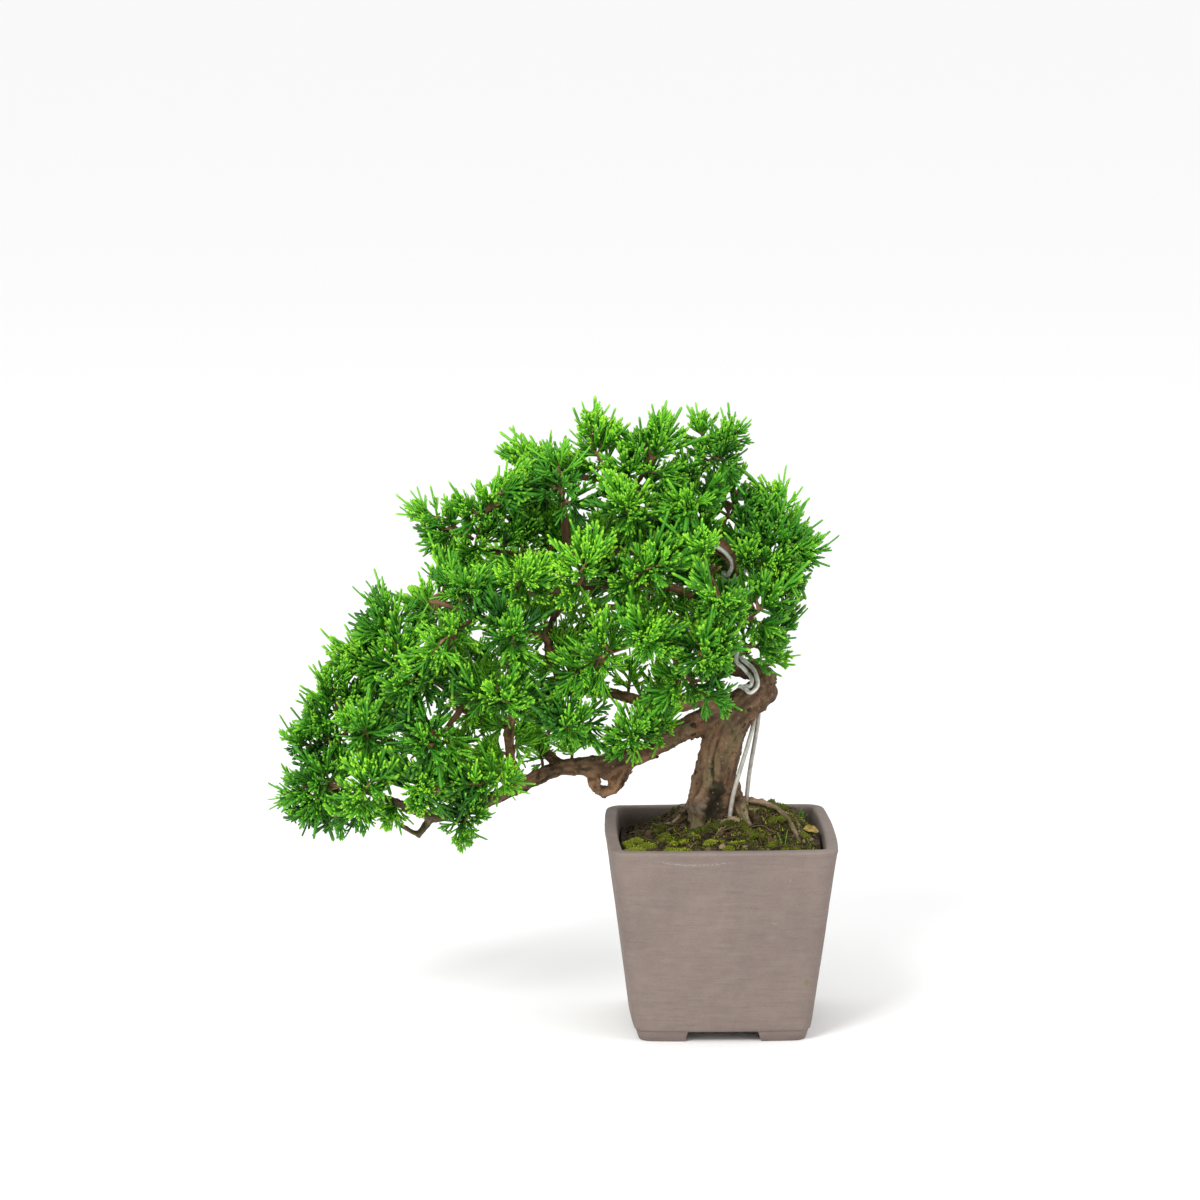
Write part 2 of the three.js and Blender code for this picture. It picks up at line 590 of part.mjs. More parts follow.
// A side stem drawn out of one facet, or nothing where its way is blocked
function growSideStem(vertices, facet, length, owner, shoot) {
  const heading = headingOf(facet, Math.min(facet.lean + SIDE_LEAN, SIDE_LEAN_MOST));
  const radius = SIDE_RADIUS * STEM_RADIUS;
  const root = facetCentre(vertices, facet.corners);
  const tip = root.clone().addScaledVector(heading, length);
  const free = root.clone().addScaledVector(heading, 2 * STEM_RADIUS);
  const beyond = tip.clone().addScaledVector(heading, ROW_LENGTH);
  if (!isClear(free, beyond, STEM_RADIUS, NEEDLE_TIP, owner, `${owner} main`)) {
    return null;
  }
  addRod(root, tip, STEM_RADIUS, radius, owner, shoot);
  const corner = vertices[facet.corners[0]].clone().sub(root);
  const zero = around(heading, 0);
  const quarter = around(heading, Math.PI / 2);
  const turn = Math.atan2(corner.dot(quarter), corner.dot(zero));
  const rowLengths = Array(SIDE_ROWS).fill(length / SIDE_ROWS);
  const stem = { vertices, ring: facet.corners, root, axis: heading, turn, rowLengths };
  return growStem({ ...stem, radius, bareRows: 0 });
}

// True where two faces of one skin cross. Faces that share an edge only touch.
const probe = new THREE.Ray();
const hit = vec(0, 0, 0);

function edgeCuts(from, to, face) {
  const length = from.distanceTo(to);
  probe.set(from, to.clone().sub(from).divideScalar(length));
  const found = probe.intersectTriangle(...face, false, hit);
  return found !== null && hit.distanceTo(from) < length;
}

function facesCross(vertices, first, second) {
  const shared = first.filter((index) => second.includes(index));
  if (shared.length > 1) {
    return false;
  }
  const cuts = (edges, face) => edges.some((from, i) => {
    const to = edges[(i + 1) % 3];
    const touches = shared.includes(from) || shared.includes(to);
    return !touches && edgeCuts(vertices[from], vertices[to], face.map((index) => vertices[index]));
  });
  return cuts(first, second) || cuts(second, first);
}

// Draws one facet out to a needle if there is room for it, and else leaves it flat
function growNeedle(vertices, facet, faces, owner, shoot, random) {
  const { corners } = facet;
  const heading = headingOf(facet, facet.lean + LEAN_SPREAD * (random() - 0.5));
  const foot = facetCentre(vertices, corners);
  const length = NEEDLE_LENGTH * mix(...NEEDLE_LENGTHS, random());
  const start = foot.clone().addScaledVector(heading, STEM_RADIUS);
  for (const share of NEEDLE_TRIES) {
    const tip = foot.clone().addScaledVector(heading, length * share);
    if (isClear(start, tip, NEEDLE_RADIUS, NEEDLE_TIP, owner, shoot)) {
      const apex = vertices.push(tip) - 1;
      const needle = corners.map((corner, i) => [corner, corners[(i + 1) % 3], apex]);
      if (!needle.some((face) => faces.some((other) => facesCross(vertices, face, other)))) {
        addRod(start, tip, NEEDLE_RADIUS, NEEDLE_TIP, owner, shoot);
        return needle;
      }
      vertices.pop();
    }
  }
  return [corners];
}

// Which facets of the main stem carry a side stem, one in each leafy row
const SIDE_FACETS = [6, 15, 20, 31];

function sprayGeometry({ axis, base, length, reach }, owner, random) {
  const vertices = [];
  const turn = 2 * Math.PI * random();
  const ring = ringOn(vertices, base, axis, turn, STEM_RADIUS);
  const bareLength = length - MAIN_ROWS * ROW_LENGTH;
  const rowLengths = [bareLength, ...Array(MAIN_ROWS).fill(ROW_LENGTH)];
  const stem = { vertices, ring, root: base, axis, turn, rowLengths };
  const mainFacets = growStem({ ...stem, radius: STEM_RADIUS, bareRows: 1 });
  const shoots = [{ name: `${owner} main`, facets: mainFacets }];
  SIDE_FACETS.forEach((index, i) => {
    const name = `${owner} side ${i}`;
    const facets = growSideStem(vertices, mainFacets[index], reach * SIDE_SHARE, owner, name);
    if (facets) {
      mainFacets[index].grown = true;
      shoots.push({ name, facets });
    }
  });
  const bare = shoots.flatMap(({ name, facets }) => facets.map((facet) => ({ ...facet, name })))
    .filter(({ grown }) => !grown);
  let faces = bare.map(({ corners }) => corners);
  for (const facet of bare.filter(({ leafy }) => leafy)) {
    const others = faces.filter((corners) => corners !== facet.corners);
    faces = [...others, ...growNeedle(vertices, facet, others, owner, facet.name, random)];
  }
  return closedGeometry(vertices, [[0, 2, 1], ...faces]);
}

// Soil: the top is a mound round the trunk that runs out further to the right, with small lumps
function soilHeight(x, y) {
  const [middleX, middleY] = MOUND_MIDDLE;
  const width = x > middleX ? MOUND_RIGHT : MOUND_LEFT;
  const away = ((x - middleX) / width) ** 2 + ((y - middleY) / MOUND_DEPTH) ** 2;
  const lumps = Math.sin(LUMP_WAVE * x) * Math.cos(LUMP_WAVE * y) + Math.sin(x + LUMP_WAVE * y);
  return SOIL_EDGE_HEIGHT - SOIL_SLOPE * y + MOUND_HEIGHT * Math.exp(-away) + LUMP_HEIGHT * lumps;
}

const SOIL_RINGS = [1, 0.9, 0.76, 0.6, 0.42, 0.22];

function soilGeometry(cutters) {
  const bottom = SCREEN_BOTTOM;
  const lowestEdge = SOIL_EDGE_HEIGHT - SOIL_SLOPE * RIM_HALF - 2 * LUMP_HEIGHT;
  const edge = squarePlan(innerHalf(lowestEdge) - GAP, INNER_CORNER, 0);
  const surface = SOIL_RINGS.map((share) => (
    edge.map(({ x, y }) => vec(x * share, y * share, soilHeight(x * share, y * share)))
  ));
  const foot = squarePlan(innerHalf(bottom) - EDGE_ROUND - GAP, INNER_CORNER, bottom);
  const knee = squarePlan(innerHalf(bottom + EDGE_ROUND) - GAP, INNER_CORNER, bottom + EDGE_ROUND);
  const rings = [foot, knee, ...surface];
  let soil = toSolid(skin(rings, vec(0, 0, bottom), vec(0, 0, soilHeight(0, 0))));
  const screenSide = SCREEN_SIDE + 2 * GAP;
  const screenSpace = new THREE.BoxGeometry(screenSide, screenSide, 2 * (SCREEN_THICKNESS + GAP));
  screenSpace.translate(0, 0, SCREEN_BOTTOM);
  soil = soil.subtract(toSolid(screenSpace));
  for (const cutter of cutters) {
    soil = soil.subtract(cutter);
  }
  return toGeometry(largestBody(soil).simplify(FLAT_TOLERANCE));
}

// Assembly

// How many sides each kind of tube has, and how far apart its rings lie
const TRUNK_TUBE = { sides: 10, spacing: 8 };
const LIMB_TUBE = { sides: 7, spacing: 10 };
const BOUGH_TUBE = { sides: 5, spacing: 12 };
const ROOT_TUBE = { sides: 5, spacing: 8 };
const WIRE_TUBE = { sides: 6, spacing: 4 };

const thick = [centreLine(TRUNK, TRUNK_TUBE.spacing), centreLine(LOWER_LIMB, LIMB_TUBE.spacing)];
const boughs = LIMBS.map((points) => centreLine(points, BOUGH_TUBE.spacing));
const roots = ROOTS.map((points) => centreLine(points, ROOT_TUBE.spacing));
const wires = [0, 1].map((strand) => centreLine(wireRoute(strand), WIRE_TUBE.spacing));

const thickTubes = (extra) => [
  tube(thick[0], TRUNK_TUBE.sides, { rib: BARK_RIB, extra, tip: 1 }),
  tube(thick[1], LIMB_TUBE.sides, { rib: BARK_RIB, extra, tip: 1 }),
  ...roots.map((stations) => tube(stations, ROOT_TUBE.sides, { extra })),
];
const boughTubes = boughs.map((stations) => tube(stations, BOUGH_TUBE.sides, { tip: 1 }));
const wireSpace = join(wires.map((stations) => tube(stations, WIRE_TUBE.sides, { extra: GROWN })));
const wholeTree = join([...thickTubes(0), ...boughTubes]);
const wood = toGeometry(largestBody(wholeTree.subtract(wireSpace)).simplify(WOOD_TOLERANCE));
const soilCutters = [join(thickTubes(GROWN)), wireSpace];

thick.forEach((stations) => addTube(stations, 'wood', BARK_SWELL));
boughs.forEach((stations) => addTube(stations, 'wood'));
wires.forEach((stations, i) => addTube(stations, `wire ${i}`));

const SEED = 8;
const random = randomSource(SEED);
const seats = growthPlan([TRUNK, LOWER_LIMB, ...LIMBS]).map((growth, i) => {
  const owner = `spray ${i}`;
  const seat = seatSpray(growth, wood, owner);
  const tip = seat.base.clone().addScaledVector(seat.axis, seat.length);
  addRod(seat.base, tip, STEM_RADIUS, STEM_RADIUS * STEM_TAPER, owner, `${owner} main`);
  return seat;
});
const sprays = seats.map((seat, i) => sprayGeometry(seat, `spray ${i}`, random));

const material = (colour, roughness, metalness = 0) => new THREE.MeshStandardMaterial({
  color: colour, roughness, metalness, flatShading: true,
});
const colours = {
  clay: '#968780', screen: '#2a2a2a', soil: '#3a3020', bark: '#6f5442', wire: '#bcb8ae', foliage: '#3f8f25',
};

const tree = new THREE.Group();

function addPiece(name, geometry, finish) {
  const mesh = new THREE.Mesh(geometry, finish);
  mesh.name = name;
  tree.add(mesh);
}

addPiece('pot', potGeometry(), material(colours.clay, 0.8));
addPiece('drain_screen', screenGeometry(), material(colours.screen, 0.6));
addPiece('soil', soilGeometry(soilCutters), material(colours.soil, 0.95));
addPiece('juniper_wood', wood, material(colours.bark, 0.85));
wires.forEach((stations, i) => {
  addPiece(`wire_${i + 1}`, tube(stations, WIRE_TUBE.sides), material(colours.wire, 0.4, 1));
});
sprays.forEach((geometry, i) => {
  addPiece(`spray_${String(i + 1).padStart(2, '0')}`, geometry, material(colours.foliage, 0.6));
});

// The origin moves to the middle of the footprint of the whole thing
const bounds = new THREE.Box3().setFromObject(tree);
const middle = bounds.getCenter(vec(0, 0, 0));
tree.position.set(-middle.x, -middle.y, -bounds.min.z);

export default tree;
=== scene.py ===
# %% [markdown]
# # A potted juniper, dressed on its measured frame
# The frame holds every piece of the bonsai at its real size and place: pot, screen, soil, wood, two wires
# and 54 sprays of foliage. This lesson gives each of them its finish and its finest shapes. It begins by
# loading the frame and keeping its box, because no dressed piece may grow past it.

# %% Load the measured frame
import json
import math

import bpy
import numpy as np
from mathutils import Matrix, Vector
from mathutils.bvhtree import BVHTree
from mathutils.kdtree import KDTree

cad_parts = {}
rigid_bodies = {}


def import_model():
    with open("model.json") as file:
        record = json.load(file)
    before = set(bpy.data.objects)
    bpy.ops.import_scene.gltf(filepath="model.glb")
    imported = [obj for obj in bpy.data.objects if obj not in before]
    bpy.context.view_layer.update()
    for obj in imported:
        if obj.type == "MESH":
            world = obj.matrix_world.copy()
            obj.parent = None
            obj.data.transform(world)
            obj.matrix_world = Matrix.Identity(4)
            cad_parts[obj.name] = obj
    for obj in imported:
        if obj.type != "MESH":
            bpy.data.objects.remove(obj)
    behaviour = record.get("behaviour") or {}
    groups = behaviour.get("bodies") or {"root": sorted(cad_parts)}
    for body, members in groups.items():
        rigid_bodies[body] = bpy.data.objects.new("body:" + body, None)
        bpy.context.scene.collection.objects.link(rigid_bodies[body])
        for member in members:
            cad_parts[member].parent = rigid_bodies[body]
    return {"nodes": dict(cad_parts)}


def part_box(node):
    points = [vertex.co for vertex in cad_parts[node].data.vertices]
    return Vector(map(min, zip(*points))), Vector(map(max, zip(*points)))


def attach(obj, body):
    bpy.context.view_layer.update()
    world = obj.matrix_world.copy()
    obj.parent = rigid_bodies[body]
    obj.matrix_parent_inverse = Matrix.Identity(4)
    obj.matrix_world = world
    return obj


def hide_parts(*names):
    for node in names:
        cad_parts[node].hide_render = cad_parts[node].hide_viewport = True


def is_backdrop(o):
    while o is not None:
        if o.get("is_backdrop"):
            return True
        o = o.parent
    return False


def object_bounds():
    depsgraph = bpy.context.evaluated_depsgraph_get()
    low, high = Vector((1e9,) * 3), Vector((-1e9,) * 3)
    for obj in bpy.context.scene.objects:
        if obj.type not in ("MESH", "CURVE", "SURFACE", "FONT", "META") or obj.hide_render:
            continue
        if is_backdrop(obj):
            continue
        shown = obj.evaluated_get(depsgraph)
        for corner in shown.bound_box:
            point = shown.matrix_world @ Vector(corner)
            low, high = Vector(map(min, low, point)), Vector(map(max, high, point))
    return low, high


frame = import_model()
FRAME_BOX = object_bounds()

MM = 0.001
BODY = "root"
SPRAYS = sorted(name for name in frame["nodes"] if name.startswith("spray_"))
print("frame:", len(frame["nodes"]), "nodes,", len(SPRAYS), "of them sprays")

# %% [markdown]
# The middle of the pot is the natural place to measure from, so lengths below are millimetres from the
# centre of its foot ring. Two short helpers turn such a place into the scene's metres and back.

# %% Places measured from the pot
pot_low, pot_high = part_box("pot")
POT_MIDDLE = Vector(((pot_low.x + pot_high.x) / 2, (pot_low.y + pot_high.y) / 2, 0))


def place(x, y, z):
    """A place in millimetres from the middle of the pot's foot, as a place in the scene."""
    return POT_MIDDLE + Vector((x, y, z)) * MM


def from_pot(places):
    """Scene places, one in each row, in millimetres from the middle of the pot's foot."""
    return (np.asarray(places) - np.array(POT_MIDDLE)) / MM


print("middle of the pot:", tuple(round(value, 4) for value in POT_MIDDLE))

# %% [markdown]
# A product picture like this one is taken from a little above, with a long lens. The camera stands two
# metres off and looks down by 9.5 degrees. The lens is worked out from the width of what it shows.

# %% Camera
CAMERA_TURN = -1.24
CAMERA_LIFT = 9.5
CAMERA_PLACE = (-97.6, -1972.1, 526.9)
SENSOR_WIDTH = 36.0
LENS = 131.98

camera_data = bpy.data.cameras.new("camera")
camera_data.sensor_width = SENSOR_WIDTH
camera_data.lens = LENS
camera_data.clip_end = 100
camera = bpy.data.objects.new("camera", camera_data)
camera.location = place(*CAMERA_PLACE)
camera.rotation_euler = (math.radians(90 - CAMERA_LIFT), 0, math.radians(CAMERA_TURN))
bpy.context.scene.collection.objects.link(camera)
bpy.context.scene.camera = camera
print("camera at", tuple(round(value, 3) for value in camera.location))

# %% [markdown]
# Operators act on all that is selected, and a new primitive is selected all over. So each step below first
# takes one object: everything else is dropped from the selection and that one is made active.

# %% Helpers that select, apply and merge
def clear_selection():
    for piece in list(bpy.context.selected_objects):
        piece.select_set(False)


def take(piece):
    """Makes one object the only one that the next operator acts on."""
    clear_selection()
    piece.select_set(True)
    bpy.context.view_layer.objects.active = piece
    return piece


def edit(piece, *steps):
    """Runs steps in edit mode with all of the piece selected."""
    take(piece)
    bpy.ops.object.mode_set(mode="EDIT")
    bpy.ops.mesh.select_all(action="SELECT")
    for step in steps:
        step()
    bpy.ops.object.mode_set(mode="OBJECT")
    return piece


def apply_modifier(piece, kind, **settings):
    """Adds one modifier, sets it up and applies it."""
    take(piece)
    modifier = piece.modifiers.new(kind.lower(), kind)
    for name, value in settings.items():
        setattr(modifier, name, value)
    bpy.ops.object.modifier_apply(modifier=modifier.name)
    return piece


def face_outward():
    bpy.ops.mesh.normals_make_consistent(inside=False)


def join(pieces, name):
    """Joins several objects in one mesh."""
    clear_selection()
    for piece in pieces:
        piece.select_set(True)
    bpy.context.view_layer.objects.active = pieces[0]
    if len(pieces) > 1:
        bpy.ops.object.join()
    pieces[0].name = name
    return pieces[0]


def merged_copy(node, name):
    """A copy of a frame node as one skin. The frame's own mesh is loose triangles, so it is merged."""
    piece = bpy.data.objects.new(name, frame["nodes"][node].data.copy())
    bpy.context.scene.collection.objects.link(piece)
    take(piece)
    if piece.data.has_custom_normals:
        bpy.ops.mesh.customdata_custom_splitnormals_clear()
    edit(piece, lambda: bpy.ops.mesh.remove_doubles(threshold=0.01 * MM))
    return piece


def triangles(piece):
    return sum(len(face.vertices) - 2 for face in piece.data.polygons)


def smooth(piece):
    """Shades one object smoothly."""
    take(piece)
    bpy.ops.object.shade_smooth()


def unpick(piece):
    """Takes one object and drops all that is selected in its mesh."""
    take(piece)
    bpy.ops.object.mode_set(mode="EDIT")
    bpy.ops.mesh.select_all(action="DESELECT")
    bpy.ops.object.mode_set(mode="OBJECT")


clear_selection()
print("helpers ready")

# %% [markdown]
# Grown and fired surfaces are never even. Their small bumps come from one helper, which gives smooth random
# values in space. The table it reads is drawn with a seed, so each run gives the same bumps.

# %% Smooth random bumps
TABLE_SIDE = 32


def lumps(places, size, seed=0):
    """Smooth random values from -1 to 1 at each place, with bumps about as wide as size."""
    table = np.random.default_rng(seed).uniform(-1, 1, (TABLE_SIDE,) * 3)
    spots = np.asarray(places) / size + 1000
    cell = np.floor(spots).astype(int)
    share = spots - cell
    share = share * share * (3 - 2 * share)
    total = np.zeros(spots.shape[:-1])
    for corner in np.ndindex(2, 2, 2):
        weight = np.prod(np.where(corner, share, 1 - share), axis=-1)
        index = (cell + np.array(corner)) % TABLE_SIDE
        total += weight * table[index[..., 0], index[..., 1], index[..., 2]]
    return total


def ramp(values, start, end):
    """A smooth step from 0 at start to 1 at end."""
    share = np.clip((values - start) / (end - start), 0, 1)
    return share * share * (3 - 2 * share)


def away_from(spot, places):
    """How far each place lies from one spot."""
    return np.linalg.norm(places - np.array(spot), axis=1)


def corners_of(piece):
    """All corners of a piece's mesh, in metres."""
    places = np.empty(len(piece.data.vertices) * 3, np.float32)
    piece.data.vertices.foreach_get("co", places)
    return places.reshape(-1, 3).astype(float)


def normals_of(piece):
    directions = np.empty(len(piece.data.vertices) * 3, np.float32)
    piece.data.vertices.foreach_get("normal", directions)
    return directions.reshape(-1, 3).astype(float)


def set_corners(piece, places):
    piece.data.vertices.foreach_set("co", places.astype(np.float32).ravel())
    piece.data.update()


def set_values(piece, name, values):
    """Stores one number for each corner of the mesh, for a material to read."""
    attribute = piece.data.attributes.get(name) or piece.data.attributes.new(name, "FLOAT", "POINT")
    attribute.data.foreach_set("value", np.asarray(values, np.float32))


print("bump table:", TABLE_SIDE, "cells a side")

# %% [markdown]
# ## Finishes
# Nearly every finish here is mottled, and several are specked: clay with sand, soil with grit, wire with
# dull spots. Each of these two effects is built once as a node group with named sockets and then placed in
# the materials with its own values. A few helpers keep the node code short.

# %% Helpers that build nodes
def feed(tree, socket, value):
    """Links an output to a socket, or sets the socket to a plain value."""
    if isinstance(value, bpy.types.NodeSocket):
        tree.links.new(value, socket)
    else:
        socket.default_value = value


def maths(tree, operation, first, second=0.0):
    node = tree.nodes.new("ShaderNodeMath")
    node.operation = operation
    feed(tree, node.inputs[0], first)
    feed(tree, node.inputs[1], second)
    return node.outputs[0]


def between(tree, value, start, end, low=0.0, high=1.0):
    """Maps a value that runs from start to end onto low to high, smoothly."""
    node = tree.nodes.new("ShaderNodeMapRange")
    node.interpolation_type = "SMOOTHSTEP"
    feed(tree, node.inputs["Value"], value)
    for name, number in (("From Min", start), ("From Max", end), ("To Min", low), ("To Max", high)):
        node.inputs[name].default_value = number
    return node.outputs["Result"]


def blend(tree, share, first, second):
    """Mixes two colours."""
    node = tree.nodes.new("ShaderNodeMix")
    node.data_type = "RGBA"
    feed(tree, node.inputs[0], share)
    feed(tree, node.inputs[6], first)
    feed(tree, node.inputs[7], second)
    return node.outputs[2]


def tint(tree, colour, added, mask, strength):
    """Mixes another colour into one where the mask says, at most by the strength."""
    return blend(tree, maths(tree, "MULTIPLY", mask, strength), colour, added)


def object_places(tree):
    return tree.nodes.new("ShaderNodeTexCoord").outputs["Object"]


def axes_of(tree, places):
    """X, Y and Z of the places, each as an output of its own."""
    node = tree.nodes.new("ShaderNodeSeparateXYZ")
    tree.links.new(places, node.inputs[0])
    return node.outputs


def stored(tree, name):
    """A number that the mesh stores at its corners."""
    node = tree.nodes.new("ShaderNodeAttribute")
    node.attribute_name = name
    return node.outputs["Fac"]


def noise(tree, places, scale, detail=3.0, rough=0.55):
    node = tree.nodes.new("ShaderNodeTexNoise")
    feed(tree, node.inputs["Vector"], places)
    feed(tree, node.inputs["Scale"], scale)
    node.inputs["Detail"].default_value = detail
    node.inputs["Roughness"].default_value = rough
    return node.outputs[0]


def stretched(tree, places, scale):
    """The same places, scaled by axis, which draws a pattern out along the axis scaled least."""
    node = tree.nodes.new("ShaderNodeMapping")
    feed(tree, node.inputs["Vector"], places)
    node.inputs["Scale"].default_value = scale
    return node.outputs[0]


def group_of(name, inputs, outputs):
    """An empty node group with named sockets."""
    tree = bpy.data.node_groups.new(name, "ShaderNodeTree")
    for label, kind in inputs:
        tree.interface.new_socket(label, in_out="INPUT", socket_type=kind)
    for label, kind in outputs:
        tree.interface.new_socket(label, in_out="OUTPUT", socket_type=kind)
    return tree, tree.nodes.new("NodeGroupInput"), tree.nodes.new("NodeGroupOutput")


print("node helpers ready")

# %% [markdown]
# Mottle is noise at two sizes, whose sum also serves as relief. Specks are the cells of a Voronoi pattern: a
# share of them is chosen by their random colour, and each one chosen is a soft dot.

# %% The two shared effects: mottle and specks
FINER = 7.3
DOT_EDGES = (0.38, 0.18)
mottle_group, given, result = group_of(
    "mottle",
    [("Vector", "NodeSocketVector"), ("Scale", "NodeSocketFloat")],
    [("Broad", "NodeSocketFloat"), ("Fine", "NodeSocketFloat"), ("Height", "NodeSocketFloat")],
)
broad = noise(mottle_group, given.outputs["Vector"], given.outputs["Scale"], 4)
finer_scale = maths(mottle_group, "MULTIPLY", given.outputs["Scale"], FINER)
fine = noise(mottle_group, given.outputs["Vector"], finer_scale, 3)
height = maths(mottle_group, "MULTIPLY_ADD", fine, 0.5)
mottle_group.links.new(broad, height.node.inputs[2])
mottle_group.links.new(between(mottle_group, broad, 0.32, 0.68), result.inputs["Broad"])
mottle_group.links.new(between(mottle_group, fine, 0.3, 0.7), result.inputs["Fine"])
mottle_group.links.new(height, result.inputs["Height"])

specks_group, given, result = group_of(
    "specks",
    [("Vector", "NodeSocketVector"), ("Scale", "NodeSocketFloat"), ("Share", "NodeSocketFloat")],
    [("Mask", "NodeSocketFloat")],
)
cells = specks_group.nodes.new("ShaderNodeTexVoronoi")
specks_group.links.new(given.outputs["Vector"], cells.inputs["Vector"])
specks_group.links.new(given.outputs["Scale"], cells.inputs["Scale"])
drawn = specks_group.nodes.new("ShaderNodeSeparateColor")
specks_group.links.new(cells.outputs["Color"], drawn.inputs[0])
chosen = maths(specks_group, "LESS_THAN", drawn.outputs[0], given.outputs["Share"])
spot = between(specks_group, cells.outputs["Distance"], *DOT_EDGES)
specks_group.links.new(maths(specks_group, "MULTIPLY", chosen, spot), result.inputs["Mask"])


def mottle(tree, places, scale):
    """Places the mottle effect and returns its three outputs."""
    node = tree.nodes.new("ShaderNodeGroup")
    node.node_tree = mottle_group
    feed(tree, node.inputs["Vector"], places)
    node.inputs["Scale"].default_value = scale
    return node.outputs["Broad"], node.outputs["Fine"], node.outputs["Height"]


def specks(tree, places, scale, share):
    """Places the specks effect and returns its mask."""
    node = tree.nodes.new("ShaderNodeGroup")
    node.node_tree = specks_group
    feed(tree, node.inputs["Vector"], places)
    node.inputs["Scale"].default_value = scale
    node.inputs["Share"].default_value = share
    return node.outputs["Mask"]


def new_material(name, roughness, metallic=0.0, specular=0.5):
    """A material with one Principled shader, whose even values are set on its own sockets."""
    material = bpy.data.materials.new(name)
    material.use_nodes = True
    shader = material.node_tree.nodes["Principled BSDF"]
    shader.inputs["Roughness"].default_value = roughness
    shader.inputs["Metallic"].default_value = metallic
    shader.inputs["Specular IOR Level"].default_value = specular
    return material, material.node_tree, shader


def coat(tree, shader, colour, mask, roughness):
    """Gives a shader its colour, and a roughness that the mask leads from the first value to the second."""
    tree.links.new(colour, shader.inputs["Base Color"])
    tree.links.new(between(tree, mask, 0, 1, *roughness), shader.inputs["Roughness"])


def raise_surface(tree, shader, height, distance, strength=1.0):
    """Gives a shader fine relief. The distance is in metres."""
    bump = tree.nodes.new("ShaderNodeBump")
    bump.inputs["Distance"].default_value = distance
    bump.inputs["Strength"].default_value = strength
    feed(tree, bump.inputs["Height"], height)
    tree.links.new(bump.outputs["Normal"], shader.inputs["Normal"])


def finish_piece(piece, name, material, replaced=()):
    """Names a finished piece, paints it and ties it to the frame."""
    piece.name = name
    piece.data.name = name
    piece.data.materials.clear()
    piece.data.materials.append(material)
    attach(piece, BODY)
    if replaced:
        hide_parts(*replaced)
    print(f"{name}: {triangles(piece):,} triangles")
    return piece


print("shared effects:", mottle_group.name, "and", specks_group.name)

# %% [markdown]
# ## Pot
# The pot is unglazed stoneware, pressed in a mould: a tapered square with sides that bow out, a flat rim,
# and a foot ring cut away in the middle of each side. It could be boxed out with bevels, but then the bowed
# sides and the soft corners need a dense mesh anyway. So it is turned first, as a round pot is, ring by
# ring up the outside, over the rim, down the inside and out through the drain hole. Then one rule squares
# every ring that isn't part of the round hole.

# %% The pot's sizes and its square rule
POT_HEIGHT = 90.75
RIM_HALF = 51.2
BASE_HALF = 40.2
WALL = 5.5
FLOOR = 6.0
FOOT_HEIGHT = 4.8
FOOT_LENGTH = 24.5
FOOT_WIDTH = 9.0
FOOT_SETBACK = 0.9
FOOT_TAPER = 1.3
DRAIN_RADIUS = 7.5
SIDE_BOW = 0.03
OUTER_CORNER = 0.16
INNER_CORNER = 0.08
EDGE_ROUND = 1.5
POT_SIDES = 160
CORNER_CROWDING = 0.65


def square_plan(angles, half, corner):
    """Points of a bowed square with round corners, one on the ray at each angle."""
    flat = half * (1 - corner)
    turn = np.round(angles / (math.pi / 2)) * math.pi / 2
    away = angles - turn
    steep = np.tan(away)
    across = half * steep
    out = half * (1 + SIDE_BOW * np.clip(1 - (across / flat) ** 2, 0, 1))
    radius = half * corner
    middle = flat * (1 + np.abs(steep))
    slope = 1 + steep**2
    root = np.sqrt(np.maximum(middle**2 - slope * (2 * flat**2 - radius**2), 0))
    out = np.where(np.abs(across) > flat, (middle + root) / slope, out)
    along = out * steep
    first = out * np.cos(turn) - along * np.sin(turn)
    return np.stack([first, out * np.sin(turn) + along * np.cos(turn)], -1)


def outer_half(z):
    return BASE_HALF + (RIM_HALF - BASE_HALF) * (z - FOOT_HEIGHT) / (POT_HEIGHT - FOOT_HEIGHT)


def arc(middle, radius, start, end, steps=4):
    """Profile points, each a half width and a height, on an arc between two angles in degrees."""
    turns = [math.radians(start + (end - start) * i / steps) for i in range(steps + 1)]
    return [(middle[0] + radius * math.cos(turn), middle[1] + radius * math.sin(turn)) for turn in turns]


print("pot:", 2 * RIM_HALF, "mm across the rim,", POT_HEIGHT, "mm high")

# %% [markdown]
# Each ring of the profile is an extrusion of the one before, moved up or down and resized about the middle.
# The last ring meets the first, so the body closes. More corners stand where the square's corners come.

# %% Turn a profile ring by ring, then square it
FLOOR_RING = 22.0
OUTER_RINGS = 18
INNER_RINGS = 10


